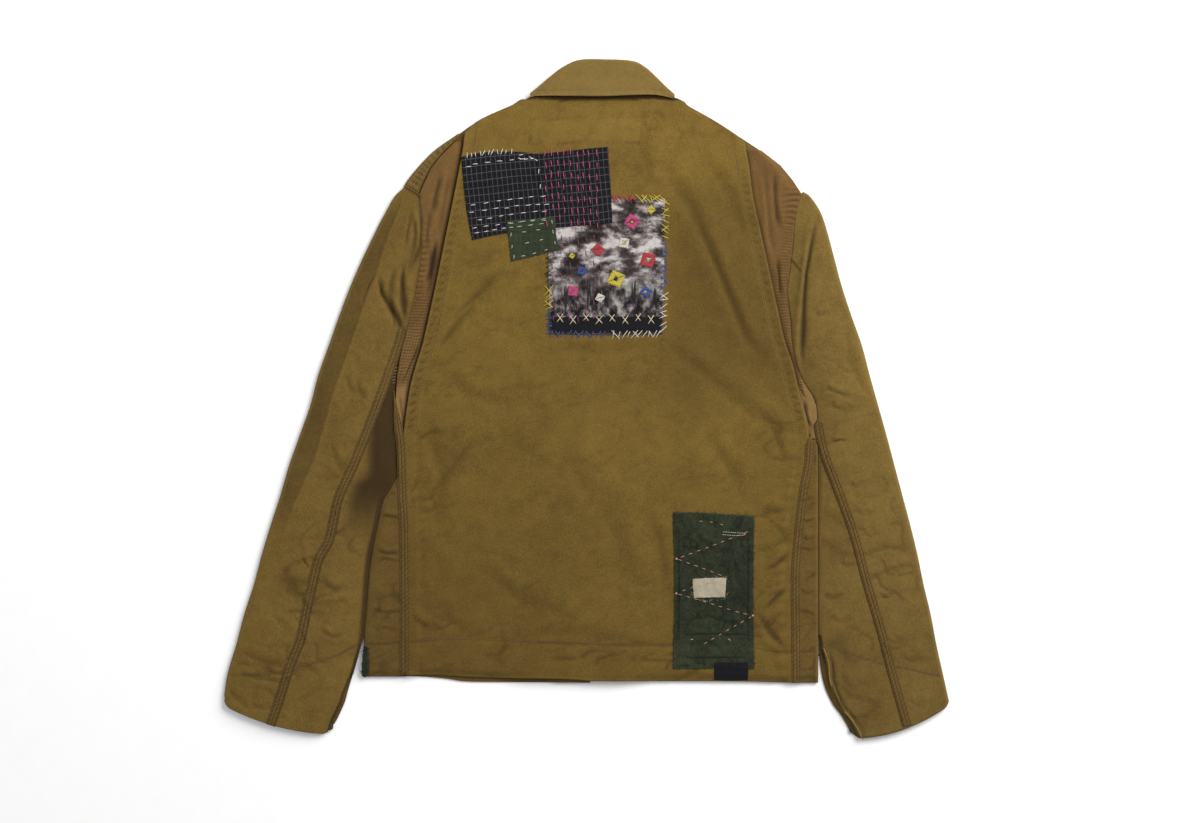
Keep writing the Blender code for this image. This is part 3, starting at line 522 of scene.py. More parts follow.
printed = cloth_material("printed_cotton", "77706f", "9a9496", "151317", 0.0, "plain", 0.0008, 0.06, 0.10,
                         print_pattern)
cream = cloth_material("cream_woven_label", "b9af97", "d0c8b3", "65583f", 0.0, "plain", 0.0006, 0.12, 0.10)
black = cloth_material("black_woven_label", "17171b", "2c2c31", "060608", 0.0, "twill", 0.0007, 0.10, 0.10)
binding = cloth_material("slit_binding", "8f7644", "a38a58", "3a2b14", 0.0, "plain", 0.0008, 0.10)

thread = {name: thread_material(name + "_thread", code) for name, code in (
    ("tan", "9b7f49"), ("dark", "3f2a0e"), ("rust", "5f3d1c"), ("white", "e6e2d6"), ("pink", "c8497e"),
    ("wine", "8a4660"), ("red", "b8333b"), ("yellow", "d8c63f"), ("blue", "39559c"), ("sage", "c6cfb4"),
    ("orange", "dba283"), ("cream", "d8c9a3"), ("black", "121014"), ("green", "2f3a22"))}




# Folds: (line on the photograph's grid, width, depth, lip, shading). A lip is a raised edge on the line's
# left (positive) or right (negative) side.

BACK_FOLDS = [
    ([(650, 150), (690, 210), (715, 264), (747, 343), (785, 388)], 9.0, 1.3, 0.9, 0.20),
    ([(660, 345), (700, 372), (745, 408), (780, 440)], 12.0, 0.8, 0.6, 0.12),
    ([(504, 268), (476, 296), (449, 321)], 8.0, 1.2, -0.8, 0.22),
    ([(478, 300), (452, 330), (434, 355)], 7.0, 1.0, -0.6, 0.22),
    ([(425, 505), (450, 470), (478, 433)], 8.0, 0.9, 0.6, 0.16),
    ([(540, 345), (600, 352), (668, 340)], 12.0, 0.5, 0.5, 0.08),
    ([(440, 375), (470, 395), (520, 405)], 10.0, 0.6, 0.5, 0.10),
    ([(560, 450), (610, 520), (640, 600)], 14.0, 0.5, 0.5, 0.07),
    ([(470, 560), (520, 600), (585, 622)], 12.0, 0.6, 0.5, 0.08),
    ([(430, 600), (470, 640)], 9.0, 0.5, 0.4, 0.10),
    ([(762, 572), (777, 564), (792, 550)], 5.0, 1.1, 0.9, 0.35),
    ([(763, 612), (775, 598), (789, 586)], 5.0, 1.1, 0.9, 0.38),
    ([(755, 610), (770, 632), (789, 652)], 6.0, 1.2, -0.9, 0.45),
    ([(757, 520), (770, 512), (786, 508)], 6.0, 0.7, 0.5, 0.20),
    ([(640, 500), (660, 540), (668, 600)], 9.0, 0.6, 0.4, 0.12),
    ([(700, 150), (730, 200), (748, 250)], 12.0, 0.7, 0.6, 0.10),
    ([(700, 420), (730, 470), (750, 505)], 11.0, 0.6, 0.5, 0.10),
    ([(409, 613), (420, 622), (431, 631)], 4.0, 0.9, 0.6, 0.30),
    ([(600, 250), (640, 300), (668, 342)], 14.0, 0.3, 0.3, 0.03),
    ([(480, 640), (560, 632), (640, 640)], 10.0, 0.35, 0.3, 0.06),
    ([(752, 400), (772, 425), (789, 470)], 8.0, 0.7, 0.5, 0.16),
    ([(640, 135), (650, 180), (662, 196)], 9.0, 0.5, 0.3, 0.08),
    ([(430, 430), (440, 470), (442, 520)], 9.0, 0.5, 0.4, 0.10),
]
SIDE_FOLDS = [
    ([(374, 487), (384, 493), (398, 494)], 3.2, 1.1, 0.8, 0.55),
    ([(376, 517), (388, 516), (402, 519)], 3.0, 1.1, 0.8, 0.55),
    ([(374, 549), (386, 554), (401, 553)], 3.2, 1.1, 0.8, 0.55),
    ([(374, 563), (386, 559), (398, 563)], 2.6, 0.8, 0.6, 0.40),
    ([(370, 610), (384, 613), (402, 611)], 3.0, 0.9, 0.7, 0.35),
    ([(372, 632), (384, 628), (400, 632)], 3.0, 0.7, 0.5, 0.25),
    ([(800, 504), (808, 500), (815, 497)], 3.0, 0.8, 0.6, 0.35),
    ([(800, 523), (808, 521), (815, 519)], 2.4, 1.0, 0.8, 0.60),
    ([(799, 536), (807, 540), (815, 537)], 3.2, 0.9, 0.7, 0.35),
    ([(797, 551), (806, 549), (814, 552)], 3.2, 0.7, 0.6, 0.25),
    ([(797, 590), (806, 594), (815, 592)], 3.0, 0.6, 0.5, 0.20),
    ([(796, 615), (806, 612), (815, 616)], 3.0, 0.6, 0.5, 0.22),
]


def folded(x, y, folds):
    """Heights and shading of a set of folds at each place."""
    height, shade = np.zeros(np.shape(x)), np.zeros(np.shape(x))
    for points, width, depth, lip, dark in folds:
        line = plan(points)
        (x_low, y_low), (x_high, y_high) = np.min(line, axis=0), np.max(line, axis=0)
        reach = width * 3.2
        near = (x > x_low - reach) & (x < x_high + reach) & (y > y_low - reach) & (y < y_high + reach)
        if not near.any():
            continue
        d, side, along, total = to_line(x[near], y[near], line)
        ends = smooth(0, 0.3, along / total) * smooth(0, 0.3, 1 - along / total)
        d = d * (1 + 0.25 * np.sin(along / total * 9.0 + width))
        raised = bell(d * side * (1 if lip > 0 else -1) - 1.25 * width, 0.8 * width)
        height[near] += ends * (-depth * bell(d, 0.62 * width) + abs(lip) * raised)
        shade[near] = np.maximum(shade[near], ends * dark * bell(d, 0.5 * width))
    return height, shade


def placket_edge(y):
    """Free edge of the outer front across the jacket."""
    return 3.4 + (y + 318.0) * 0.0567


EDGE_LEFT, EDGE_RIGHT, HEM_LINE = Line(BACK_EDGE_LEFT), Line(BACK_EDGE_RIGHT), Line(HEM)
TOP_LINE = Line([(-138, 304.5), (-123, 317.5), (-86, 334.6), (-70.4, 341.4)]
                + [(x, y - 0.6) for x, y in NECK_SEAM[1:-1]]
                + [(108.5, 339.6), (114, 334.6), (144, 317.6), (171, 299.8), (177.9, 292.9)])
HEM_STITCHES = [(-234, -274.6), (-165, -269), (-49, -271.5), (20, -274), (96, -275.5), (190, -279),
                (233, -284), (260, -282)]
STITCH_HEM = Line(HEM_STITCHES)
# Broad swells of the back: start, end, width and height
SWELLS = [((78, 268), (150, 155), 26, 1.6), ((150, 155), (205, 60), 26, 1.3), ((-90, 150), (-152, 92), 24, 1.4),
          ((-120, -36), (-168, -100), 24, 1.0), ((170, -215), (215, -185), 22, 1.0)]
# The trace of a stitched rectangle that was taken off below the collar
TRACE = [((530, 119), (643, 119)), ((530, 143), (640, 143)), ((530, 119), (530, 143)), ((643, 119), (640, 143))]


def body_surface(x, y):
    """Middle of the back's wall and its shading."""
    bump = 2.2 * (1 - smooth(45, 95, np.abs(x - placket_edge(y) + 15.0))) * (1 - smooth(300, 335, y))
    swell = sum(height * bell(to_line(x, y, [a, b])[0], width) for a, b, width, height in SWELLS)
    z = BACK_HEIGHT + bump + swell * (1 - 0.5 * np.minimum(bump, 1.0))
    from_hem, from_top = y - HEM_LINE.y(x), TOP_LINE.y(x) - y
    z -= np.maximum(2.1 - bump, 0.0) * (1 - smooth(0, 9, from_hem))
    z -= 0.6 * (1 - smooth(0, 7, from_top)) * smooth(0, 25, np.abs(x - 19) - 85)
    side = np.minimum(x - EDGE_LEFT.x(y), EDGE_RIGHT.x(y) - x)
    seamed = smooth(-26, -34, y)
    z = z + (SEAM_HEIGHT + (z - SEAM_HEIGHT) * smooth(0, 20, side) - z) * seamed
    height, shade = folded(x, y, BACK_FOLDS)
    inner = smooth(2, 26, side) * smooth(3, 26, from_hem) * smooth(4, 30, from_top)
    z += 1.6 * height * (0.25 + 0.75 * inner)
    z += 0.22 * wavy(x, y, 4, 130) * inner + 0.10 * wavy(x, y, 5, 34) * inner
    z += 0.05 * wavy(x, y, 6, 11) * smooth(0, 10, side)
    # Creases gather towards the seams and the hem
    near = np.minimum(smooth(62, 14, side) * smooth(40, -40, y) + smooth(66, 16, from_hem) + 0.42, 1.0)
    lines = np.minimum(creased(x * 0.5, y, 14, 24) + 0.8 * creased(x * 0.8, y * 1.2, 15, 40), 1.0)
    lines = lines * near * smooth(3, 12, side)
    z += 0.16 * wavy(x * 0.5, y, 16, 15) * near - 0.75 * lines
    # Pulls along the seams, the hem stitching and the turned edges
    tuck = np.sin(y / 1.45 + 2.2 * wavy(x * 0.2, y, 8, 60))
    slow = np.sin(y / 1.9 + 2.3 * wavy(x * 0.2, y, 9, 50))
    edge_pull = bell(side - 6.5, 4.5) * (1 - seamed) * smooth(285, 235, y)
    long_pull = bell(side - 16, 8.0) * seamed
    z += 0.42 * tuck * edge_pull + 0.28 * slow * long_pull
    stitch = y - STITCH_HEM.y(x)
    above = np.sin(x / 2.6 + 2.0 * wavy(x, y * 0.2, 10, 70)) * bell(stitch - 4, 5.0)
    z += 0.20 * above * smooth(4, 20, side) - 0.45 * bell(stitch, 1.5)
    z += 0.35 * smooth(0, 3, -stitch) * smooth(0, 10, from_hem)
    z += 0.10 * np.sin(x / 4.3 + 2.2 * wavy(x, y, 11, 90)) * bell(stitch + 20, 14.0)
    # The neck is in shadow where the collar stands off it, and the right lies a little away from the light
    gap = 4.2 * np.clip(1 - ((x - 19) / 88.0) ** 6, 0.0, 1.0)
    below = Line(COLLAR_EDGE).y(x) - y
    shade = most(np.minimum(2.1 * shade, 0.8), 0.50 * lines, 0.62 * edge_pull * smooth(0.0, -0.9, tuck),
                 0.20 * long_pull * smooth(-0.1, -0.9, slow), 0.34 * bell(side - 12.9, 1.3) * (1 - seamed),
                 0.50 * bell(stitch, 1.0), smooth(1.4, 0.0, below - gap) * (np.abs(x - 19) < 90),
                 0.34 * smooth(40, 120, x) * smooth(-60, 60, y) * smooth(290, 210, y),
                 0.16 * smooth(-60, -150, x) * smooth(-120, -200, y))
    for ends in TRACE:
        d = to_line(x, y, plan(ends))[0]
        z -= 0.20 * bell(d, 1.1)
        shade = np.maximum(shade, 0.50 * bell(d, 0.8) * (0.6 + 0.4 * np.sin((x + y) * 1.6)))
    return z, shade


def back_wear(x, y):
    side = np.minimum(x - EDGE_LEFT.x(y), EDGE_RIGHT.x(y) - x)
    inside_trace = (x > -62) & (x < 60) & (y > 293) & (y < 318)
    return (0.42 * bell(side, 1.6) + 0.25 * bell(side - 13.5, 2.2) + 0.40 * bell(y - HEM_LINE.y(x), 1.8)
            + 0.24 * inside_trace)


def coons(bottom, top, left, right, u, v):
    """Plan points between four meeting edges, each given as arrays of x and y."""
    uu, vv = np.meshgrid(u, v)
    out = []
    for b, t, le, ri in zip(bottom, top, left, right):
        value = (1 - vv) * b + vv * t + (1 - uu) * le[:, None] + uu * ri[:, None]
        value -= (1 - uu) * (1 - vv) * b[0] + uu * (1 - vv) * b[-1]
        out.append(value - ((1 - uu) * vv * t[0] + uu * vv * t[-1]))
    return out


def make_back():
    u, v = spread(440, 3.4, 9, 1.5) / 440, spread(640, 3.4, 9, 1.5) / 640
    (left, low_left), (right, low_right) = HEM[0], HEM[-1]
    hx, tx = left + (right - left) * u, -138 + (177.9 + 138) * u
    ly, ry = low_left + (304.5 - low_left) * v, low_right + (292.9 - low_right) * v
    x, y = coons((hx, HEM_LINE.y(hx)), (tx, TOP_LINE.y(tx)), (EDGE_LEFT.x(ly), ly), (EDGE_RIGHT.x(ry), ry), u, v)
    z, shade = body_surface(x, y)
    return cloth("back_cloth", np.stack([x, y, z], axis=-1), khaki, 1.2, shade, back_wear(x, y),
                 node="back_panel")


def rim_points(side):
    rows, inner = (ROWS_LEFT, INNER_LEFT) if side == "left" else (ROWS_RIGHT, INNER_RIGHT)
    return [(float(Line(inner).x(y)), y) for _, y in rows]


def straight_x(points, y):
    xs, ys = zip(*sorted(points, key=lambda p: p[1]))
    return np.interp(y, ys, xs)


def arc():
    return np.radians(np.linspace(90, -90, 7))


def side_rows(side, gap, limits, *steps):
    """Rows of a side panel: the outer edge, the height, half the fold's height and its lower layer's width."""
    low, high = (-311.0, -37.2) if side == "left" else (-318.0, -43.2)
    y = low + spread(high - low, *steps)
    edge_x = straight_x(rim_points(side), y) + gap * (-1 if side == "left" else 1)
    edge_x = np.maximum(edge_x, limits[0]) if side == "left" else np.minimum(edge_x, limits[1])
    hem = 1 - smooth(0, 9, y - low)
    r = (SEAM_HEIGHT - 1.2 * hem - LOW) / 2
    return y, edge_x, hem, r, 4.0 + 16.0 * smooth(-45, -110, y)


def make_side(side):
    """Side panel from the back seam round the side fold to its lower seam."""
    # The left side's fold gets more painted shade than the right one, which faces the light.
    sign, seam, dark = (-1, EDGE_LEFT, 0.25) if side == "left" else (1, EDGE_RIGHT, 0.05)
    y, edge_x, hem, r, bottom = side_rows(side, 0.15, (-252.4, 261.7), 1.7, 8, 1.4)
    start = 0.58 + r
    width = np.abs(edge_x - seam.x(y) - sign * 0.2) - start
    cols = []
    for f in np.linspace(1.0, 0.0, 15)[:-1]:
        x = edge_x - sign * (start + width * f)
        z, shade = side_surface(x, y, np.abs(edge_x - x), hem)
        cols.append((x, y, z, shade, 0.35 * bell((1 - f) * width, 2.0)))
    for turn in arc():
        x = edge_x - sign * (start - r * math.cos(turn))
        cols.append((x, y, LOW + r + r * math.sin(turn), dark + 0 * x, 0.2 + 0 * x))
    for f in (0.33, 0.66, 1.0):
        cols.append((edge_x - sign * (start + bottom * f), y, LOW + 0 * y, 0 * y, 0 * y))
    grid = np.stack([np.stack(col, axis=-1) for col in cols], axis=1)
    return cloth("side_cloth_" + side, grid[..., :3], khaki_side, 1.1, grid[..., 3], grid[..., 4],
                 flip=side == "left", node="side_" + side)


def side_surface(x, y, out, hem):
    """Upper layer of a side panel."""
    height, shade = folded(x, y, SIDE_FOLDS)
    stitch = y - STITCH_HEM.y(x)
    lines = np.minimum(creased(x * 0.5, y, 24, 22) + creased(x * 0.8, y, 25, 32), 1.0)
    z = SEAM_HEIGHT - 2.0 * hem + (height - 0.40 * lines) * smooth(2, 7, out)
    z = z + 0.16 * wavy(x, y, 21, 24) * smooth(2, 9, out) + 0.08 * wavy(x, y, 22, 9) - 0.4 * bell(stitch, 1.5)
    left = x < 0
    # Painted shade along the outer edges, darkest in the gap beside the left sleeve.
    return z, most(shade, 0.50 * bell(stitch, 1.0), 0.36 * lines, 0.40 * (1 - smooth(1, 7, out)) * left,
                   0.95 * bell(out, 3.6) * left * smooth(-285, -255, y), 0.28 * (1 - smooth(0, 4, out)) * (x > 0))


# Gussets, fronts, shoulder and collar


GUSSET_FOLDS = {
    "left": [
        ([(441, 172), (436, 192), (433, 207), (430, 217)], 4.0, 1.3, 0.8, 0.62),
        ([(452, 168), (446, 190), (441, 215), (438, 240)], 4.0, 0.8, -0.7, 0.30),
        ([(437, 252), (434, 268), (430, 282), (425, 300)], 3.4, 1.2, 0.6, 0.60),
        ([(431, 205), (427, 230), (425, 252)], 3.0, 0.7, 0.5, 0.35),
        ([(421, 338), (413, 358), (405, 376), (399, 388)], 2.0, 1.0, 0.5, 0.95),
        ([(437, 236), (433, 260), (428, 290)], 6.5, 1.3, 0.3, 1.0),
        ([(432, 246), (430, 268), (426, 288)], 4.0, 0.9, 0.3, 0.85),
        ([(399, 392), (401, 412), (404, 432)], 2.4, 0.8, 0.5, 0.45),
    ],
    "right": [
        ([(774, 168), (775, 195), (777, 218), (783, 234)], 3.6, 1.3, 0.8, 0.60),
        ([(764, 160), (767, 200), (771, 240), (777, 262)], 4.0, 0.9, -0.7, 0.30),
        ([(777, 255), (779, 275), (781, 300)], 3.0, 1.1, 0.6, 0.75),
        ([(803, 398), (806, 412), (811, 431)], 2.6, 1.1, 0.6, 0.85),
        ([(800, 386), (803, 394), (806, 398)], 1.8, 0.9, 0.5, 0.60),
    ],
}


def gusset_detail(side, x, y, out, visible):
    """Gathers, puckers and soft folds of a gusset: heights and shading."""
    if side == "left":
        gather = smooth(12, 25, y) * (1 - smooth(112, 150, y))
        tight = smooth(108, 125, y) * (1 - smooth(160, 215, y))
        strong, dark = 1.0, 0.9
    else:
        gather = smooth(40, 55, y) * (1 - smooth(195, 232, y))
        tight = smooth(190, 205, y) * (1 - smooth(232, 250, y))
        strong, dark = 0.55, 0.55 - 0.4 * smooth(20, 6, y)
    height, shade = folded(x, y, GUSSET_FOLDS[side])
    rib = np.sin(y * 2 * math.pi / 3.4 + 1.3 * wavy(x * 2.0, y, 31, 26) + 0.10 * x)
    border = smooth(17.0, 9.0, visible - out)
    gather = gather * (border + (1 - border) * smooth(168, 145, y))
    ribbed = gather * smooth(-1, 3, out)
    pucker = np.sin(y * 2 * math.pi / 6.5 + 1.6 * wavy(x, y, 32, 30))
    tight = tight * smooth(visible * 0.45, visible * 0.95, out)
    height = height + 0.40 * rib * ribbed * (1 - 0.35 * smooth(0.85, 1.0, out / visible)) + 0.55 * pucker * tight
    height = height + 0.20 * wavy(x * 2.2, y * 0.8, 33, 40) * (1 - gather)
    rows = 0.30 * smooth(0.3, -0.9, np.sin(out * 2 * math.pi / 3.1))
    # The back's turned edge shades the gusset beside it
    return height, most(shade, (0.46 * smooth(0.25, -0.9, rib) + rows) * strong * ribbed,
                        0.45 * tight * smooth(0.2, -0.9, pucker), dark * (1 - smooth(0.5, 6.5, out)))


def make_gusset(side):
    left = side == "left"
    sign, edge, top_y, end_y = (-1, EDGE_LEFT, 294.0, -36.2) if left else (1, EDGE_RIGHT, 285.0, -42.2)
    rim = (GUSSET_OUT_LEFT if left else GUSSET_OUT_RIGHT)[:-1] + rim_points(side)
    y = np.arange(end_y, top_y, 1.05)
    tuck = 3.0 + 10.0 * smooth(end_y, end_y + 40, y) * (1 - 0.5 * smooth(top_y - 50, top_y - 10, y))
    inner_x = edge.x(y) - sign * tuck
    outer_x = straight_x(rim, y) - sign * 0.1 + 0.9 * (not left) * smooth(22, 8, y) * smooth(-38, -24, y)
    visible = np.abs(outer_x - edge.x(y))
    turned = smooth(236, 244, y) * (not left)
    cols, shades = [], []
    for f in np.linspace(0, 1, 34):
        x = inner_x + (outer_x - inner_x) * f
        out = (x - edge.x(y)) * sign
        rise = smooth(0, 1, (out + 1.0) / (np.maximum(6.0, 0.75 * visible) + 1.0))
        height, shade = gusset_detail(side, x, y, out, np.maximum(visible, 2.0))
        z = 2.6 + 1.9 * rise - 1.9 * turned * smooth(0.8, 1.0, f)
        z = z + height * smooth(-1.5, 2.5, out) * (1 - 0.5 * smooth(0.9, 1.0, f))
        cols.append(np.stack([x, y, np.maximum(z, 1.9)], axis=-1))
        shades.append(shade)
    plain = smooth(22, 8, y)[:, None]
    light = 0.95 * plain + 0.35 * (1 - plain) * smooth(120, 60, y)[:, None]
    return cloth("gusset_cloth_" + side, np.stack(cols, axis=1), brown, 0.8,
                 np.stack(shades, axis=1), light, flip=left, node="gusset_" + side)


def side_low_edge(side):
    """Lower edge of the side panel, which the front panel meets."""
    sign = -1 if side == "left" else 1
    y, edge_x, _, r, bottom = side_rows(side, -0.6, (-252.6, 261.3), 9.0, 8, 2.5)
    return edge_x - sign * (LOW + r + bottom + 0.4), y


def make_front(side):
    """Front panel, the lowest layer, from its side seam to its placket edge."""
    left = side == "left"
    ox, oy = side_low_edge(side)
    rim = sorted([p for p in rim_points(side) if p[1] > oy[-1] + 4], key=lambda p: p[1])
    outer = list(zip(ox, oy)) + [(p[0] + (0.7 if left else -0.7), p[1]) for p in rim[:-1]]
    if left:
        outer += [(-189.4, 234.2), (-204.6, 243.8)]
        top = SHOULDER_LEFT[1:] + [(-38, 313), (placket_edge(292), 292)]
        hem = [(-192, -311), (-160, -313.5), (-140, -316.5), (-100, -317.3), (placket_edge(-318), -318)]
    else:
        outer += [(240.4, 238.6)]
        top = SHOULDER_RIGHT[::-1][1:] + [(74, 312), (placket_edge(292) - 36, 292)]
        hem = [(200, -313.5), (100, -313), (placket_edge(-312) - 36, -311)]
    top = [outer[-1]] + [(x, y - 1.0) for x, y in top]
    outer = np.asarray(outer)
    v = (outer[:, 1] - outer[0, 1]) / (outer[-1, 1] - outer[0, 1])
    u = np.linspace(0, 1, 72)
    ry = hem[-1][1] + (292.0 - hem[-1][1]) * v
    placket = (placket_edge(ry) - (0.0 if left else 36.0), ry)
    x, y = coons(Line([outer[0]] + hem).at(u), Line(top).at(u), outer.T, placket, u, v)
    # Two more rows between each pair
    fine = np.linspace(0, len(outer) - 1, len(outer) * 3 - 2)
    low = np.minimum(fine.astype(int), len(outer) - 2)
    part = (fine - low)[:, None]
    x, y = (g[low] * (1 - part) + g[low + 1] * part for g in (x, y))
    inward = placket_edge(y) - x
    lift = 1.9 * smooth(185, 208, y) * (1 - smooth(108, 130, np.abs(x - 19)))
    if left:
        z, facing, stitched, seed = 2.7 * (1 - smooth(34.5, 49, inward)), inward - 34.0, 6.0, 41
    else:
        z, facing, stitched, seed = 4.5 * (1 - smooth(6, 32, -inward)), 38.0 - inward, 30.0, 42
    lines = bell(facing - 1.0, 1.1) + bell(inward - stitched, 1.1)
    z = LOW + np.maximum(z, lift)
    z = z + 0.10 * lines * (z > 1.3)
    z = z + 0.18 * wavy(x, y, seed, 90) * smooth(1.2, 2.0, z)
    return cloth("front_cloth_" + side, np.stack([x, y, z], axis=-1), inside, 1.0,
                 0.35 * lines + 0.25 * bell(y + 276, 1.6), 0.25 * bell(y + 309, 3.0), flip=not left,
                 node="front_" + side)


SHOULDER_EDGES = (Line([(-144.6, 299.6), (-166.6, 277.4), (-178, 262), (-188.6, 239.6), (-190, 235)]),
                  Line([(-145, 303.2), (-148, 301), (-172, 284), (-189, 267), (-203, 250), (-206, 244.2)]))


def make_shoulder():
    f = np.linspace(0, 1, 60)
    (ax, ay), (bx, by) = (line.at(f) for line in SHOULDER_EDGES)
    cols, shades, crest_highlight_and_wear = [], [], []
    across = np.linspace(0, 1, 14)
    profile = np.interp(across, [0, 0.45, 0.75, 0.9, 1.0], [4.6, 4.75, 4.3, 3.4, 2.4])
    for g, z in zip(across, profile):
        pucker = 0.16 * np.sin(f * 88 / 1.1 + 2 * np.sin(f * 9)) * math.sin(math.pi * g)
        cols.append(np.stack([ax + (bx - ax) * g, ay + (by - ay) * g, z + pucker], axis=-1))
        # Pucker troughs get painted shade; crests get wear and painted highlight, and the outer part gets wear.
        shades.append(0.55 * bell(g, 0.06) + 0.30 * (pucker < -0.08))
        crest_highlight_and_wear.append(0.4 * (pucker > 0.05) + 0.5 * bell(g - 0.8, 0.2))
    return cloth("shoulder_cloth", np.stack(cols, axis=1), khaki_seam, 0.9,
                 np.stack(shades, axis=1), np.stack(crest_highlight_and_wear, axis=1), node="shoulder_left")


def make_collar():
    """Collar across the back neck: stand, fold and fall."""
    start, end = COLLAR_FOLD[0][0], COLLAR_FOLD[-1][0]
    part = np.linspace(0, 1, 95)
    x = start + (end - start) * (0.25 - 0.25 * np.cos(np.pi * part) + 0.5 * part)
    y_fold, y_edge = Line(COLLAR_FOLD).y(x), Line(COLLAR_EDGE).y(x)
    stand = 5.1 - 0.5 * (1 - smooth(0, 30, np.minimum(x - start, end - x)))
    r = 1.65
    top = y_fold - LOW - r
    y_seam = np.minimum(Line(NECK_SEAM).y(x) + 0.5, top - 0.8)
    cols = [(x, y_seam + (top - y_seam) * g, stand, 0.4 + 0 * x, 0 * x) for g in (0.0, 0.33, 0.66)]
    for turn in -arc():
        rise = math.sin(turn)
        cols.append((x, top + r * math.cos(turn), stand + r + r * rise, 0.12 * (rise < 0) + 0 * x,
                     0.45 * bell(rise - 0.3, 0.5) + 0 * x))
    middle = np.clip(1 - ((x - 19) / 84.0) ** 2, 0.0, 1.0)
    for g in np.linspace(0.04, 1.0, 24):
        y = top + (y_edge - top) * g
        z = stand + 3.3 - 1.0 * smooth(0.5, 1.0, g) + 2.3 * middle * smooth(0.45, 1.0, g)
        z = z + 0.22 * wavy(x * 0.55, y * 1.6, 51, 30) * smooth(0.02, 0.3, g) * smooth(1.0, 0.85, g)
        inset = np.abs(y - y_edge)
        z = z - 0.14 * bell(inset - 6.2, 1.0) + 0.10 * np.sin(x / 1.5) * bell(inset - 5, 2.5)
        cols.append((x, y, z, 0.08 * bell(inset - 6.2, 0.9), 0.55 * bell(inset, 1.6) + 0.12 * (inset < 6)))
    grid = np.stack([np.stack(col, axis=-1) for col in cols], axis=1)
    return cloth("collar_cloth", grid[..., :3], khaki_collar, 1.3, grid[..., 3], grid[..., 4],
                 node="collar_back")


LEAVES = {"left": [(-58, 338), (-32, 308), (16.5, 291), (-26, 242), (-64, 320)],
          "right": [(97, 336), (70, 308), (21.5, 291), (64, 242), (103, 318)]}


def make_leaf(side, points):
    """A collar leaf, folded flat below the front of the neck."""
    corners = np.asarray(points, float)
    rings = np.linspace(0, 1, 11)[:, None, None]
    edge = [a + (b - a) * t for a, b in zip(corners, np.roll(corners, -1, axis=0))
            for t in np.linspace(0, 1, 16, endpoint=False)]
    centre = corners.mean(axis=0)
    xy = centre + (np.asarray(edge + [edge[0]]) - centre) * (0.02 + 0.98 * rings)
    z = 0.75 + 0.12 * np.sin(rings * 3.0) + 0 * xy[..., :1]
    shade = 0.4 * bell(rings[:, 0] - 0.86, 0.03)
    return cloth("leaf_cloth_" + side, np.concatenate([xy, z], axis=-1), khaki_collar, 1.2, shade,
                 0.5 * smooth(0.92, 1, rings[:, 0]), flip=True, node="collar_leaf_" + side)


# Sleeves

SLIT_WIDTHS = {"left": ([20, 21, 22, 23], [2.0, 5.0, 6.0, 2.5]), "right": ([20, 21, 22, 23], [2.5, 6.5, 8.0, 8.5])}
LEFT_SLEEVE_FOLDS = [
    ([(419, 203), (421, 225), (420, 247), (413, 262), (408, 275)], 4.2, 1.3, -0.9, 0.50),
    ([(405, 262), (402, 280), (403, 300), (406, 326)], 5.6, 1.6, 0.6, 0.90),
    ([(378, 272), (382, 294), (391, 308), (399, 322), (404, 340)], 5.4, 1.7, 0.8, 0.85),
    ([(396, 262), (391, 285), (390, 305), (396, 325)], 6.0, 0.8, 0.3, 0.40),
    ([(413, 208), (416, 235), (411, 262), (405, 285)], 6.0, 0.8, 0.3, 0.36),
    ([(391, 296), (393, 318), (396, 331)], 2.6, 0.7, 0.5, 0.45),
    ([(404, 322), (401, 342), (394, 360), (389, 378)], 3.2, 1.0, 0.5, 0.55),
    ([(412, 205), (408, 228), (404, 252)], 3.0, 0.6, 0.5, 0.25),
    ([(378, 270), (370, 284), (364, 296), (362, 305)], 2.0, 0.8, 0.4, 0.62),
    ([(356, 378), (360, 392), (368, 402)], 5.0, 0.7, 0.4, 0.22),
    ([(345, 372), (350, 388), (358, 398)], 5.0, 0.5, 0.3, 0.14),
    ([(301, 556), (305, 562), (310, 568)], 2.2, 0.9, 0.6, 0.45),
    ([(298, 590), (303, 600), (308, 612)], 4.0, 0.6, 0.4, 0.20),
    ([(300, 630), (304, 640), (306, 650)], 3.4, 0.5, 0.4, 0.18),
    ([(238, 651), (262, 661), (290, 667)], 6.0, 0.7, -0.6, 0.30),
    ([(234, 672), (262, 679), (286, 683)], 3.0, 0.7, 0.5, 0.30),
    ([(226, 690), (240, 702), (252, 712)], 6.0, 0.5, 0.4, 0.10),
    ([(318, 628), (332, 637), (345, 634)], 3.5, 0.6, 0.5, 0.28),
    ([(320, 582), (336, 590), (345, 584)], 5.5, 0.5, 0.4, 0.30),
    ([(330, 606), (340, 600), (348, 604)], 4.0, 0.4, 0.4, 0.22),
    ([(336, 520), (343, 508), (352, 500)], 5.0, 0.5, 0.4, 0.14),
    ([(327, 540), (338, 535), (350, 538)], 5.0, 0.4, 0.3, 0.10),
    ([(278, 560), (290, 585), (300, 600)], 7.0, 0.4, 0.3, 0.08),
    ([(330, 440), (336, 460), (345, 478)], 5.5, 0.5, 0.4, 0.14),
    ([(270, 610), (284, 628), (300, 636)], 6.0, 0.4, 0.3, 0.10),
]
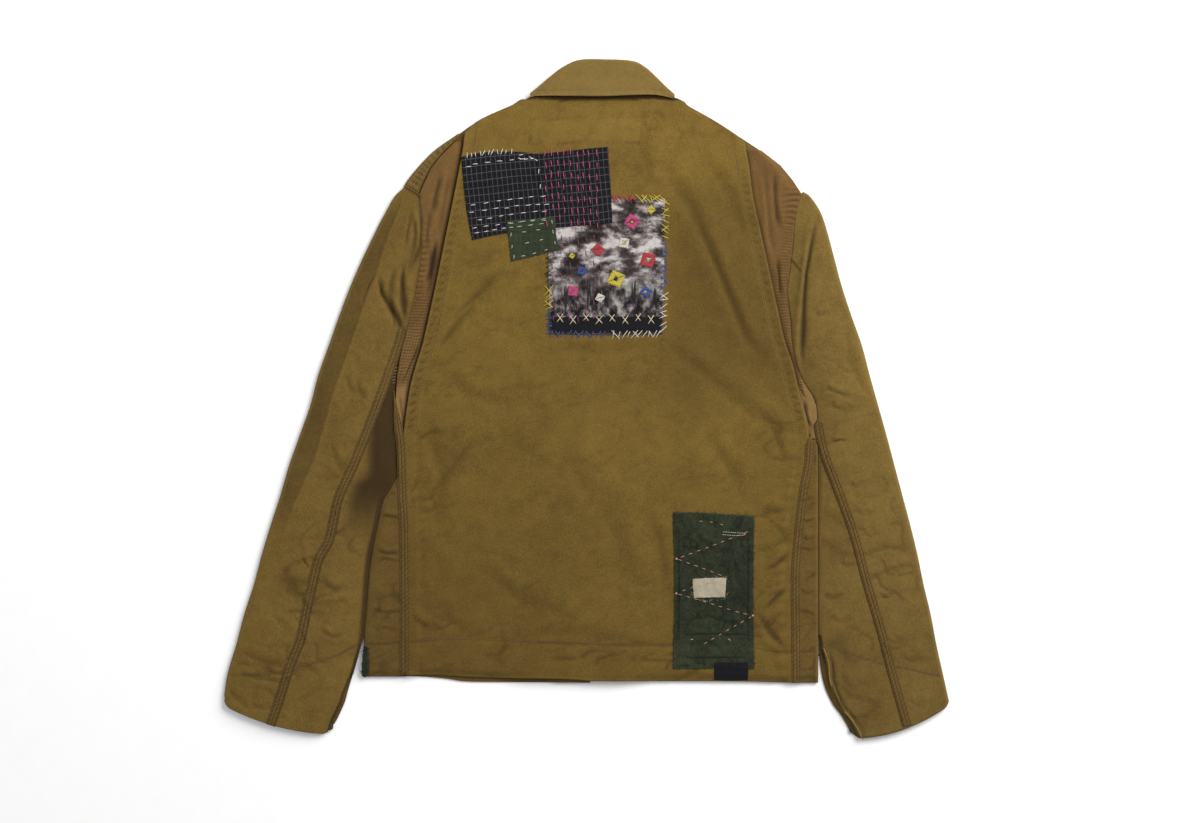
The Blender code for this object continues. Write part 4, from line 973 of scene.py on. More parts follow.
RIGHT_SLEEVE_FOLDS = [
    ([(822, 212), (815, 226), (810, 251), (806, 273), (804, 296), (803, 323), (802, 352), (802, 378)],
     4.2, 2.1, -1.1, 0.95),
    ([(783.4, 252.9), (792.3, 260.9), (799.5, 269.8), (803, 275)], 1.3, 0.7, 0.4, 0.85),
    ([(803, 376), (808, 392), (814, 412), (818, 430)], 2.8, 0.9, -0.6, 0.45),
    ([(831, 443), (839, 440), (848, 440)], 2.2, 0.9, 0.7, 0.50),
    ([(822, 387), (838, 393), (852, 399)], 4.0, 0.7, 0.5, 0.26),
    ([(826, 404), (842, 410), (858, 409)], 5.0, 0.5, 0.5, 0.16),
    ([(812, 312), (820, 316), (832, 311)], 3.5, 0.5, 0.4, 0.16),
    ([(846, 330), (850, 360), (866, 398)], 7.0, 0.5, 0.4, 0.10),
    ([(838, 366), (846, 372), (862, 374)], 4.0, 0.4, 0.4, 0.12),
    ([(846, 484), (856, 486), (866, 480)], 3.5, 0.5, 0.5, 0.18),
    ([(850, 508), (862, 514), (876, 512)], 4.0, 0.4, 0.4, 0.12),
    ([(837, 560), (846, 566), (858, 563)], 4.0, 0.6, 0.5, 0.20),
    ([(878, 596), (886, 597), (895, 591)], 2.6, 0.8, 0.6, 0.42),
    ([(820, 594), (832, 598), (846, 594)], 3.6, 0.7, 0.5, 0.26),
    ([(884, 640), (896, 643), (906, 636)], 3.4, 0.6, 0.5, 0.24),
    ([(858, 532), (870, 536), (884, 532)], 4.0, 0.4, 0.4, 0.12),
    ([(884, 566), (898, 572), (912, 568)], 5.0, 0.4, 0.4, 0.12),
    ([(826, 615), (840, 622), (856, 618)], 4.0, 0.5, 0.4, 0.14),
    ([(896, 655), (912, 661), (930, 658)], 5.0, 0.5, 0.5, 0.20),
    ([(838, 672), (852, 688), (862, 690)], 5.0, 0.4, 0.4, 0.14),
    ([(904, 700), (920, 706), (938, 700)], 5.0, 0.4, 0.4, 0.10),
    ([(870, 290), (880, 320), (886, 350)], 8.0, 0.3, 0.3, 0.05),
    ([(826, 640), (832.5, 664), (834, 680), (842, 704), (853, 716), (861, 728), (867, 742)], 2.2, 1.0, 0.2,
     0.80),
]
CORNER = 9.0
CUFF_STITCH = {
    "left": plan([(365, 640), (336, 656), (308, 665), (284, 671), (266, 674), (231, 675.5)]),
    "right": plan([(820, 640), (838, 650), (868, 659), (888, 666), (905, 668), (925, 673), (944, 676)]),
}
CREASE_LEFT = plan([(402, 203), (391.5, 228), (382.7, 251), (377, 273), (365, 303), (355, 332), (347, 355),
                    (338, 380), (329, 408), (322, 434), (315, 458), (303, 485), (293, 507), (283, 535),
                    (272, 560)])


class Sleeve:
    """Where each row of a sleeve runs, for any place between its stations."""

    def __init__(self, side):
        self.side, self.left = side, side == "left"
        if self.left:
            self.rows, outer, inner, self.seam = ROWS_LEFT, OUTER_LEFT, INNER_LEFT, SEAM_LEFT
            self.first, self.sag = 6, 7.5
        else:
            self.rows, outer, inner, self.seam = ROWS_RIGHT, OUTER_RIGHT, INNER_RIGHT, SEAM_RIGHT
            self.first, self.sag = 12, 9.5
        self.outer, self.inner = Line(outer), Line(inner)

    def station(self, k):
        oy, iy = (float(interpolate(range(len(self.rows)), ys, k)) for ys in zip(*self.rows))
        a, b = (float(self.outer.x(oy)), oy), (float(self.inner.x(iy)), iy)
        length = math.dist(a, b)
        seam, under = length, length
        if k >= self.first:
            seam = min(crossing(a, b, self.seam) or 1.0, 1.0) * length
            under = min((1.0 - 0.4 * float(smooth(self.first - 1, self.first + 8, k))) * length, length - 5.0)
        bend = self.sag * float(smooth(len(self.rows) - 5, len(self.rows) - 1, k))
        return {"a": a, "b": b, "length": length, "seam": seam, "under": under, "bend": bend, "k": k}

    def point(self, st, s):
        t = s / st["length"]
        x, y = (a + (b - a) * t for a, b in zip(st["a"], st["b"]))
        # The cuff's corners are rounded
        last = len(self.rows) - 1
        near = np.clip(np.minimum(s, st["length"] - s), 0.0, CORNER)
        back = (CORNER - np.sqrt(CORNER ** 2 - (CORNER - near) ** 2)) * smooth(last - 1.0, last, st["k"])
        return x + back * 0.28 * (1 if self.left else -1), y - st["bend"] * 4 * t * (1 - t) + back * 0.96

    def height(self, st, s):
        length, k = st["length"], st["k"]
        grow = float(smooth(-0.5, 5, k)) * (1 - 0.55 * float(smooth(19, 23, k)))
        inner = 4.7
        if self.left:
            inner -= 1.6 * float(smooth(5, 7, k)) * (1 - float(smooth(10, 13, k)))
            crest = min(24.0 + 4.0 * float(smooth(12, 20, k)), length * 0.4)
            up = interpolate([0, crest, length * 0.75, length], [0, 1, 0.75, 0], s)
        else:
            up = interpolate([0, length * 0.4, length * 0.7, length], [0, 0.9, 1, 0], s)
        return SEAM_HEIGHT + (inner - SEAM_HEIGHT) * smooth(length - 25, length, s) + 3.4 * grow * up

    def detail(self, x, y, outward, from_inner):
        """Folds, pulls, shading and wear of the upper layer."""
        height, shade = folded(x, y, LEFT_SLEEVE_FOLDS if self.left else RIGHT_SLEEVE_FOLDS)
        height = height * smooth(1.5, 6, outward)
        height = height + 0.20 * wavy(x, y, 61 if self.left else 62, 70) * smooth(2, 14, outward)
        height = height + 0.10 * wavy(x * 0.5, y, 63, 22) * smooth(2, 10, outward) * smooth(60, -30, y)
        height = height + 0.05 * wavy(x, y, 65, 9) * smooth(2, 8, outward)
        lines = np.minimum(creased(x * 0.6, y, 66, 30) + 0.8 * creased(x * 0.7, y * 0.9, 67, 46), 1.0)
        lines = lines * (0.4 + 0.6 * smooth(-60, -180, y)) * smooth(3, 12, outward)
        from_seam, seam_side, along, _ = to_line(x, y, self.seam)
        pulls = np.sin(along / 1.9 + 2.0 * wavy(x, y, 64, 40)) * bell(from_seam - 8, 5.0)
        height = 1.4 * height - 0.60 * lines + 0.17 * pulls * smooth(0.0, 8.0, along)
        d, _, along, _ = to_line(x, y, CUFF_STITCH[self.side])
        height = height - 0.5 * bell(d, 1.5) + 0.15 * np.sin(along / 2.4) * bell(d - 4, 4.0)
        shade = most(np.minimum(1.35 * shade, 0.85), 0.42 * lines, 0.34 * bell(d, 1.5))
        if self.left:
            d, way, along, total = to_line(x, y, CREASE_LEFT)
            height = height + 0.5 * bell(d, 1.6) * (1 - smooth(0.7, 1.0, along / total))
            band = smooth(-0.8, 0.8, -d * way) * smooth(0, 20, along) * (1 - smooth(0.80, 1.0, along / total))
            beyond = smooth(1.5, 4.5, from_seam * seam_side)
            # Painted shade in the valley between the under sleeve and the body, along the inner edge, and on the
            # band outside the pressed crease, which faces away from the light; the stains are marks on the cloth.
            dark = most(beyond * smooth(46, 26, from_inner) * smooth(88, 50, y) * smooth(-175, -95, y),
                        smooth(8, 3, from_inner) * smooth(-300, -240, y) * smooth(-60, -110, y))
            stain = smooth(0.25, 1.1, wavy(x, y, 71, 36)) * smooth(60, 20, np.hypot(x + 283, y + 218))
            shade = most(shade, 0.36 * band * smooth(1.0, 6.0, outward), 0.92 * dark, 0.22 * stain,
                         0.45 * smooth(4, 0.5, from_inner))
        else:
            shade = most(shade, 0.18 * smooth(6, 1.0, from_inner) * smooth(20, -20, y))
        return height, shade, 0.30 * bell(outward, 2.6)


def sleeve_grid(sleeve, first, places):
    """Rows of a piece of a sleeve: upper layer, fold and lower layer, with the distance from the outer edge."""
    last = len(sleeve.rows) - 1
    count = int(round((last - 0.25 - first) * 27.5 / 2.6))
    levels = np.concatenate([np.linspace(first, last - 0.25, count + 1), [last - 0.16, last - 0.08, last]])
    rows, outs, ins = [], [], []
    for k in levels:
        st = sleeve.station(k)
        upper, fold, z_fold, lower = places(sleeve, st)
        way = np.concatenate([upper, fold, lower])
        z = np.concatenate([sleeve.height(st, upper), z_fold, np.full_like(lower, LOW)])
        rows.append(np.stack([*sleeve.point(st, way), z], axis=-1))
        outs.append(way)
        ins.append(st["length"] - way)
    return levels[:, None], np.stack(rows), np.stack(outs), np.stack(ins)


def sleeve_looks(sleeve, levels, grid, out, inn, top, reach):
    """Raises the folds of the upper layer; gives its shading and wear, and the wear of the cuff's rim."""
    last = len(sleeve.rows) - 1
    height, shade, wear = sleeve.detail(grid[..., 0], grid[..., 1], out, inn)
    ends = (0.2 + 0.8 * smooth(last, last - 0.4, levels)) * smooth(0, 0.25, levels)
    grid[..., 2] += height * top * ends * smooth(0, reach, inn)
    raised = smooth(0.5, 2.0, grid[..., 2])
    return shade * top, wear, raised, 0.45 * smooth(last - 0.12, last, levels) * raised


def sleeve_cloth(part, side, grid, shade, wear, keep=None):
    return cloth("sleeve_" + part + "_cloth_" + side, grid, khaki_left if side == "left" else khaki_right,
                 1.1, shade, wear, keep, side == "left", node="sleeve_" + part + "_" + side)


def top_places(sleeve, st):
    """Where the columns of a top sleeve are: from its seam, round the outer fold, to its lower edge."""
    r = (float(sleeve.height(st, 0.0)) - LOW) / 2
    start = LOW + r
    upper = start + (st["seam"] - 0.05 - start) * np.linspace(1.0, 0.0, 44)[:-1]
    lower = start + (st["under"] - 0.3 - start) * np.linspace(0, 1, 14)[1:]
    return upper, start - r * np.cos(arc()), start + r * np.sin(arc()), lower


def make_sleeve_top(side):
    sleeve = Sleeve(side)
    levels, grid, out, inn = sleeve_grid(sleeve, 0, top_places)
    top = np.arange(grid.shape[1]) < 43
    shade, wear, raised, rim = sleeve_looks(sleeve, levels, grid, out, inn, top, 3)
    return sleeve_cloth("top", side, grid, shade, np.where(top, wear, 0.30 * raised) + rim)


def slit_width(side, k):
    """How far the cuff's opening stands open at a station."""
    return np.where(np.asarray(k) > 20, np.interp(k, *SLIT_WIDTHS[side]), 0.0)


def under_places(sleeve, st):
    """Where the columns of an under sleeve are: from its seam, round the inner fold, to its lower edge."""
    length, k = st["length"], st["k"]
    r = (float(sleeve.height(st, length)) - LOW) / 2
    start = 0.23 + r
    opened = float(smooth(20.0, 20.3, k))
    top_start = start + (float(slit_width(sleeve.side, k)) + 0.3 - start) * opened
    seam_end = max(length - st["seam"] - 0.05, top_start + 0.6)
    low_end = max(length - st["under"] - 0.3, start + 1.5)
    upper = length - (top_start + (seam_end - top_start) * np.linspace(1.0, 0.0, 30)[:-1])
    fold, z_fold = length - start + r * np.cos(arc()), LOW + r + r * np.sin(arc())
    if k > 20:
        fold[0], fold[-1] = length - top_start, length - 0.2
        z_fold[0] = float(sleeve.height(st, fold[0]))
    return upper, fold, z_fold, length - (start + (low_end - start) * np.linspace(0, 1, 10)[1:])


def make_sleeve_under(side):
    sleeve = Sleeve(side)
    levels, grid, out, inn = sleeve_grid(sleeve, sleeve.first, under_places)
    columns = np.arange(grid.shape[1])
    top = columns < 29
    shade, wear, _, rim = sleeve_looks(sleeve, levels, grid, out, inn, top, 4)
    slit = slit_width(side, levels)
    # Painted shade on the left sleeve's inner fold and lower layer, less near the cuff and more beside the cuff's
    # opening.
    deep = 0.92 - 0.62 * smooth(-296, -340, grid[..., 1])
    deep = np.maximum(deep, smooth(slit - 4.2, slit - 1.4, inn) * smooth(-270, -290, grid[..., 1]))
    shade = shade + (1 - top) * deep * smooth(20.0, 12.0, inn) * (side == "left")
    wear = wear * top + rim + 0.5 * top * bell(inn, 2.0) * smooth(20.2, 20.6, levels)
    # The fold is left out where the cuff is open
    return sleeve_cloth("under", side, grid, shade, wear, (levels < 20.0) | (columns < 29) | (columns > 34))


# Seams, threads and patches are laid on the cloth that is already made


class Ground:
    """Height of the top of the cloth at any plan place."""

    def __init__(self, *names):
        self.trees = [(BVHTree.FromPolygons(SHEETS[name][0].tolist(), SHEETS[name][1].tolist()),
                       SHEETS[name][2] / 2) for name in names]

    def z(self, x, y):
        flat_x, flat_y = np.ravel(x), np.ravel(y)
        out = np.full(flat_x.shape, np.nan)
        down = Vector((0, 0, -1))
        for i, (px, py) in enumerate(zip(flat_x.tolist(), flat_y.tolist())):
            for tree, half in self.trees:
                hit = tree.ray_cast(Vector((px, py, 60.0)), down)[0]
                if hit is not None and not (out[i] >= hit.z + half):
                    out[i] = hit.z + half
        return fill_gaps(out.reshape(np.shape(x)))


def fill_gaps(z):
    """Gives places that lie over a gap the height beside them."""
    rows = z.reshape(1, -1) if z.ndim == 1 else z
    for row in rows:
        bad = np.isnan(row)
        if bad.all():
            row[:] = 4.0
        elif bad.any():
            spots = np.arange(len(row))
            row[bad] = np.interp(spots[bad], spots[~bad], row[~bad])
    return rows.reshape(z.shape)


def relaxed(z, axis=0):
    """Heights drawn towards their neighbours along one axis; the ends stay."""
    z = np.moveaxis(z, axis, 0)
    z[1:-1] = 0.5 * z[1:-1] + 0.25 * (z[2:] + z[:-2])
    return np.moveaxis(z, 0, axis)


def tube_faces(rings, sides):
    """Faces of a closed tube with 4 or 6 sides."""
    faces, last = [], (rings - 1) * sides
    for k in range(0, last, sides):
        for j in range(sides):
            a, b = k + j, k + (j + 1) % sides
            faces.append((a + sides, b + sides, b, a))
    for a in range(1, sides - 2, 2):
        faces += [(a, a + 1, a + 2, 0), (last + a + 2, last + a + 1, last + a, last)]
    return np.asarray(faces)


def threads(name, runs, material, ground, radius=0.3, rise=0.25, rings=5, sides=4, sink=0.25, bow=0.0):
    """Many stitches as one piece: each goes over the cloth from its start to its end and dives in."""
    starts, ends = (np.concatenate([run[k] for run in runs]) for k in (0, 1))
    t = np.linspace(0, 1, rings)
    over = np.sin(np.pi * t)
    middle = starts[:, None, :] * (1 - t)[None, :, None] + ends[:, None, :] * t[None, :, None]
    along = ends - starts
    along = along / np.maximum(np.hypot(along[:, 0], along[:, 1]), 1e-6)[:, None]
    across = np.stack([-along[:, 1], along[:, 0]], axis=-1)
    middle = middle + across[:, None, :] * (bow * over)[None, :, None]
    z = ground.z(middle[..., 0], middle[..., 1]) + rise * over ** 0.7 - sink * (1 - over) ** 3
    angles = np.linspace(0, 2 * np.pi, sides, endpoint=False) + np.pi / sides
    fat = (radius * (0.65 + 0.35 * over))[None, :, None]
    ring = middle[:, :, None] + across[:, None, None] * (fat * np.cos(angles))[..., None]
    ring_z = z[:, :, None] + 0.85 * fat * np.sin(angles)
    verts = np.concatenate([ring, ring_z[..., None]], axis=-1)
    faces = tube_faces(rings, sides)[None] + (np.arange(len(starts)) * rings * sides)[:, None, None]
    return add_object(name, make_mesh(name, verts, faces.reshape(-1, 4)), material)


def offset_line(points, offset, count=400):
    """Evenly spaced places along a line moved sideways, to its left when the offset is positive."""
    x, y = Line(points).at(np.linspace(0, 1, count))
    dx, dy = np.gradient(x), np.gradient(y)
    size = np.maximum(np.hypot(dx, dy), 1e-9)
    return np.stack([x - dy / size * offset, y + dx / size * offset], axis=-1)


def places_along(path):
    """The length of a bent path, and a way to read its places at lengths."""
    way = way_along(path)
    return way[-1], lambda s: np.stack([np.interp(s, way, path[:, 0]), np.interp(s, way, path[:, 1])], axis=-1)


def machine_row(points, offset=0.0, pitch=2.9, length=2.2, start=0.0, end=1.0, seed=0):
    """Starts and ends of the stitches of one row."""
    total, at = places_along(offset_line(points, offset))
    rng = np.random.default_rng(seed)
    s = np.arange(total * start + 0.5, total * end - length, pitch)
    s = s + rng.uniform(-0.15, 0.15, len(s))
    aside = np.outer(rng.uniform(-0.12, 0.12, len(s)), (1, 0))
    return at(s) + aside, at(s + length) + aside


def seam_strip(name, points, offset, ground, rows, half, seed, taper=6.0, shown=0.0, shadow_side=0):
    """A felled seam: a folded strip of the cloth, held down by rows of stitches, and its threads."""
    thick, pucker = 0.5, 0.09
    length = Line(points).lengths[-1]
    count = int(length / 0.95)
    across = [sign * (half - inset) for sign in (-1, 1) for inset in (0.0, 0.4, 1.0)]
    across = np.array(sorted(across + [r + d for r in rows for d in (-0.9, -0.35, 0.0, 0.35, 0.9)]))
    middle = offset_line(points, offset, count)
    beside = offset_line(points, offset + 1.0, count) - middle
    along = np.linspace(0, length, count)[:, None]
    grow = 0.12 + 0.88 * smooth(0.0, taper, along)
    xy = middle[:, None, :] + beside[:, None, :] * (across * grow)[..., None]
    base = ground.z(xy[..., 0], xy[..., 1])
    bumps = base.copy()
    for _ in range(5):
        base = relaxed(relaxed(base), 1)
    base = np.maximum(base, bumps - 0.02) + 0.12
    phase = np.random.default_rng(seed).uniform(0, 6, 3)
    drift = np.sin(along / 23 + phase[0]) + np.sin(along / 9.5 + phase[1])
    held = np.max([bell(across - r, 0.5) for r in rows], axis=0)
    wave = np.sin(along * 2 * math.pi / 5.1 + 1.8 * drift + 0.9 * across)
    z = base + thick / 2 + 0.32 * (1 - (across / half) ** 4) - 0.24 * held + pucker * wave * (1 - 0.4 * held)
    z[:, [0, -1]] = base[:, [0, -1]] - 0.1
    z[0] -= 0.6
    dots = 0.6 + 0.4 * np.sin(along * 2 * math.pi / 2.9)
    # Dark stitch rows, and painted shade in the pucker troughs.
    shade = 0.98 * held * dots + 0.10 * smooth(0.1, -0.9, wave)
    shade = np.maximum(shade, 0.34 * bell(np.abs(across) - half, 0.5))
    # A painted shadow along one edge of the strip.
    if shadow_side:
        shade = np.maximum(shade, 0.9 * bell(across * shadow_side - half, 0.9))
    # Lighter on the pucker crests between the rows: wear and painted highlight.
    wear_and_highlight = 0.26 * smooth(0.0, 0.9, wave) * (1 - held) + 0.04
    strip = cloth(name, np.concatenate([xy, z[..., None]], axis=-1), khaki_seam, thick, shade,
                  wear_and_highlight, flip=True, even=False)
    runs = [machine_row(points, offset + r, start=shown, seed=seed + i) for i, r in enumerate(rows)]
    return strip, threads(name + "_stitches", runs, thread["rust"], Ground(name), 0.27, 0.08)


def box_blur(z):
    p = np.pad(z, 1, mode="edge")
    return (p[:-2, 1:-1] + p[2:, 1:-1] + p[1:-1, :-2] + p[1:-1, 2:] + 2 * p[1:-1, 1:-1]) / 6.0


def laid_patch(name, node, edges, material, ground, wall, step, fray, seed, folds=(), bulge=0.18, blur=4,
               rumple=0.3):
    """A patch between four edges, laid on the cloth."""
    bottom, top, left, right = edges
    left, right = [bottom[0], left, top[0]], [bottom[-1], right, top[-1]]
    bottom, top, left, right = (Line(plan(edge)) for edge in (bottom, top, left, right))
    across = max(bottom.lengths[-1], top.lengths[-1])
    up = max(left.lengths[-1], right.lengths[-1])
    u, v = spread(across, step, 2.4, 0.8) / across, spread(up, step, 2.4, 0.8) / up
    x, y = coons(bottom.at(u), top.at(u), left.at(v), right.at(v), u, v)
    uu, vv = np.meshgrid(u * across, v * up)
    rim = np.minimum(np.minimum(uu, across - uu), np.minimum(vv, up - vv))
    rng = np.random.default_rng(seed)
    ragged = bell(rim, 1.6) * fray
    x = x + ragged * (0.45 * wavy(x, y, seed + 300, 4.2) + 0.16 * rng.uniform(-1, 1, x.shape))
    y = y + ragged * (0.45 * wavy(x, y, seed + 400, 4.2) + 0.16 * rng.uniform(-1, 1, y.shape))
    floor_z = ground.z(x, y) + wall / 2 + 0.12
    z = floor_z.copy()
    for _ in range(blur):
        z = np.maximum(box_blur(z), floor_z)
    z = z + bulge * (0.6 + 0.5 * wavy(x, y, seed + 100, 26)) * smooth(0.5, 5, rim)
    height, shade = folded(x, y, folds)
    lines = np.minimum(creased(x, y, seed + 600, 13, 0.3) + creased(x, y * 0.8, seed + 700, 20, 0.3), 1.0)
    lines = lines * smooth(0.5, 4, rim) * rumple
    z = z + 0.25 * rumple * wavy(x, y, seed + 800, 12) * smooth(0.5, 5, rim)
    z = np.maximum(z + height - 0.35 * lines, floor_z - 0.1)
    z = z + 0.12 * wavy(x, y, seed + 200, 9) * bell(rim, 6.0)
    shade = np.max([1.3 * shade, 0.45 * lines, 0.30 * bell(rim, 0.8)], axis=0)
    wear = 0.55 * bell(rim, 1.3) * (rng.uniform(0, 1, x.shape) > 0.45)
    return cloth(name, np.stack([x, y, z], axis=-1), material, wall, shade, wear, even=False, node=node)


def cord(name, points, radius, material, ground, rise, step=1.2):
    """A thin rounded edge of cloth, or one long thread, along plan points."""
    count = max(4, int(Line(points).lengths[-1] / step))
    path = offset_line(points, 0.0, count)
    z = ground.z(path[:, 0], path[:, 1]) + rise
    for _ in range(4):
        z = relaxed(z)
    beside = offset_line(points, 1.0, count) - path
    part = np.linspace(0, 1, count)
    fat = (radius * (0.4 + 0.6 * smooth(0, 0.06, part) * smooth(1, 0.94, part)))[:, None]
    around = np.linspace(0, 2 * np.pi, 7)[:-1]
    xy = path[:, None, :] + beside[:, None, :] * (fat * np.cos(around))[..., None]
    verts = np.concatenate([xy, (z[:, None] + 0.8 * fat * np.sin(around))[..., None]], axis=-1)
    return add_object(name, make_mesh(name, verts, tube_faces(count, 6)), material)


def whips(edge, spacing, reach, slant, seed, inward=0.5):
    """Stitches over an edge, as starts and ends, from places on the photograph's grid."""
    line = Line(plan(edge))
    total = line.lengths[-1]
    rng = np.random.default_rng(seed)
    s = np.arange(spacing * 0.4, total - spacing * 0.3, spacing)
    s = s + rng.uniform(-0.22, 0.22, len(s)) * spacing
    start = np.stack(line.at(s / total), axis=-1)
    way = np.stack(line.at(np.clip(s / total + 0.005, 0, 1)), axis=-1) - start
    way = way / np.maximum(np.hypot(*way.T), 1e-9)[:, None]
    lean = (slant + rng.uniform(-0.45, 0.45, len(s)))[:, None]
    long = (reach * rng.uniform(0.8, 1.25, len(s)))[:, None]
    aside = way[:, ::-1] * (-1, 1)
    return (start + aside * long * inward + way * lean * long * 0.5,
            start - aside * long * (1 - inward) - way * lean * long * 0.5)


def dashes(points, length, angle, seed=0):
    """Running stitches at places on the photograph's grid, at an angle in degrees."""
    centres = np.asarray(plan(points))
    rng = np.random.default_rng(seed)
    turn = np.radians(np.broadcast_to(angle, len(centres)) + rng.uniform(-5, 5, len(centres)))
    long = length * rng.uniform(0.85, 1.15, len(centres)) / 2
    way = np.stack([np.cos(turn) * long, np.sin(turn) * long], axis=-1)
    return centres - way, centres + way


def tacks(places, length, angle, seed):
    """One stitch at each place, each with draws of its own."""
    return [dashes([place], length, turn, seed + n)
            for n, (place, turn) in enumerate(zip(places, np.broadcast_to(angle, len(places))))]


def running(points, spacing, length, seed):
    """Running stitches along a bent line on the photograph's grid."""
    total, at = places_along(np.asarray(plan(points)))
    rng = np.random.default_rng(seed)
    s = np.arange(2.0, total - length, spacing) + rng.uniform(-0.6, 0.6)
    s = np.clip(s, 0, total - length)
    return at(s), at(s + length * rng.uniform(0.85, 1.1, len(s)))


def fringe(name, edge, count, reach, material, ground, seed, thickness=0.16):
    """Loose threads along a raw edge."""
    rng = np.random.default_rng(seed)
    starts = np.stack(Line(plan(edge)).at(rng.uniform(0.02, 0.98, count)), axis=-1)
    turn = rng.uniform(0, 2 * np.pi, count)
    long = reach * rng.uniform(0.4, 1.2, count)
    ends = starts + np.stack([np.cos(turn), np.sin(turn)], axis=-1) * long[:, None]
    return threads(name, [(starts, ends)], material, ground, thickness, 0.2, 6, 4, 0.0, 0.5)


def rosette(x, y, radius, spokes, seed, hollow):
    """A round of straight stitches about a middle."""
    rng = np.random.default_rng(seed)
    turn = np.linspace(0, 2 * np.pi, spokes, endpoint=False) + rng.uniform(0, 1)
    long = radius * rng.uniform(0.88, 1.1, spokes)
    way = np.stack([np.cos(turn), np.sin(turn)], axis=-1)
    centre = np.asarray(plan([(x, y)]))[0]
    return centre + way * radius * hollow, centre + way * long[:, None]


def diamond(x, y, radius, lean, gap, seed):
    """A diamond of satin stitches side by side, with a bare middle when the gap is above zero."""
    rng = np.random.default_rng(seed)
    steps = np.arange(-radius + 0.4, radius, 0.78)
    half = (radius - np.abs(steps)) * rng.uniform(0.9, 1.12, len(steps)) + 0.35
    turn = math.radians(lean)
    along, beside = np.array([-math.sin(turn), math.cos(turn)]), np.array([math.cos(turn), math.sin(turn)])
    base = np.asarray(plan([(x, y)]))[0] + steps[:, None] * beside
    inner = np.maximum(gap - np.abs(steps), 0.0)[:, None]
    return (np.concatenate([base + along * inner, base - along * inner]),
            np.concatenate([base + along * half[:, None], base - along * half[:, None]]))


# Everything that is sewn on


def sleeve_ground(side):
    return Ground("sleeve_top_cloth_" + side, "sleeve_under_cloth_" + side)


def make_seams():
    body = Ground("back_cloth", "side_cloth_left", "side_cloth_right", "gusset_cloth_left", "gusset_cloth_right")
    left = plan([(393.6, 391), (394.8, 402), (397.2, 420), (400, 438), (401.3, 452), (402.2, 490), (404, 520),
                 (404.9, 600), (404.9, 675)])
    right = [p for p in BACK_EDGE_RIGHT if p[1] < -30]
    strips = [*seam_strip("seam_body_left", left, 0.0, body, (-3.6, 0.0, 3.6), 5.4, 3, 52.0, 0.11),
              *seam_strip("seam_body_right", right, 2.0, body, (-3.4, 0.0, 3.6), 5.2, 4, 16.0, 0.03)]
    left = plan([(402.5, 326), (400.5, 338), (396, 352)]) + [p for p in SEAM_LEFT if -362 < p[1] < 38]
    right = [p for p in SEAM_RIGHT if -362 < p[1] < -4]
    # The last value picks the edge of each sleeve strip that gets a painted shadow.
    for side, points, end, dark in (("left", left, (-357.5, -366.0), 1), ("right", right, (362.0, -366.5), -1)):
        strips += seam_strip("seam_sleeve_" + side, points + [end], 0.0, sleeve_ground(side), (-3.5, 0.0, 3.5),
                             5.3, 5, shadow_side=dark)
    return strips


def make_edge_stitches():
    """Rows along the turned edges of the back, the hem, the cuffs, the collar and the shoulder."""
    ground = Ground("back_cloth", "side_cloth_left", "side_cloth_right")
    rows = []
    for n, inset in enumerate((1.8, 11.6, 14.2)):
        for edge, offset, seed in ((BACK_EDGE_LEFT, inset, 20), (BACK_EDGE_RIGHT, -inset, 30)):
            upper = [p for p in edge if p[1] > -45]
            rows.append(machine_row(upper, offset, 3.0, 2.1, 0.02, 1.0, seed + n))
    threads("stitches_back_edges", rows, thread["tan"], ground, 0.30, 0.12)
    hem = [(-249, -274.8)] + HEM_STITCHES[:-1] + [(259, -282)]
    cord("stitch_line_hem", hem, 0.34, thread["rust"], ground, 0.02, 0.9)
    for side in ("left", "right"):
        points = np.stack(Line(CUFF_STITCH[side]).at(np.linspace(0.015, 0.985, 14)), axis=-1)
        cord("stitch_line_cuff_" + side, points, 0.34, thread["rust"], sleeve_ground(side), 0.02, 0.9)
    x = np.linspace(-56, 91, 60)
    row = machine_row(np.stack([x, Line(COLLAR_EDGE).y(x) + 6.2], axis=-1), 0.0, 2.8, 2.0, seed=42)
    threads("stitches_collar", [row], thread["tan"], Ground("collar_cloth"), 0.22, 0.04)
    inner, outer = (np.stack(line.at(np.linspace(0.12, 0.98, 40)), axis=-1) for line in SHOULDER_EDGES)
    rows = [machine_row(inner + (outer - inner) * part, 0.0, 2.7, 1.9, seed=43 + n)
            for n, part in enumerate((0.24, 0.5, 0.76))]
    threads("stitches_shoulder", rows, thread["tan"], Ground("shoulder_cloth"), 0.30, 0.14)


# Patches: bottom edge, top edge, and the middles of the left and right edges, on the photograph's grid

PICTURE = ([(549, 334), (605, 334.8), (662.5, 334)], [(547.5, 198), (606, 198.5), (665, 199)],
           (548.3, 270), (664.3, 262))
CHECK = ([(472, 240), (507, 233), (545, 229), (590, 225), (612.5, 223)],
         [(461, 157), (480, 153), (500, 151.5), (520, 152), (538, 153.8), (560, 152), (585, 149), (608, 147)],
         (466, 205), (610.5, 184))
SMALL = ([(511.2, 261.6), (535, 256), (558.6, 249.4)], [(506.6, 220.3), (530, 219), (554.8, 217.3)],
         (509, 242), (556, 233))
LARGE = ([(673, 669), (713, 668.5), (754.4, 669)], [(673, 512.4), (700, 512.6), (728, 514.5), (754.4, 516)],
         (674.4, 590), (753.5, 588))
CREAM = ([(694, 598), (710, 597.4), (724.9, 597.3)], [(692.6, 579), (710, 577.8), (726.3, 577.7)],
         (692.9, 588), (725.6, 588))
HEM_LABEL = ([(714.4, 680.2), (731, 680.6), (748, 680.2)], [(714.4, 662.3), (731, 662), (748.3, 662.3)],
             (714.2, 671), (748.4, 671))
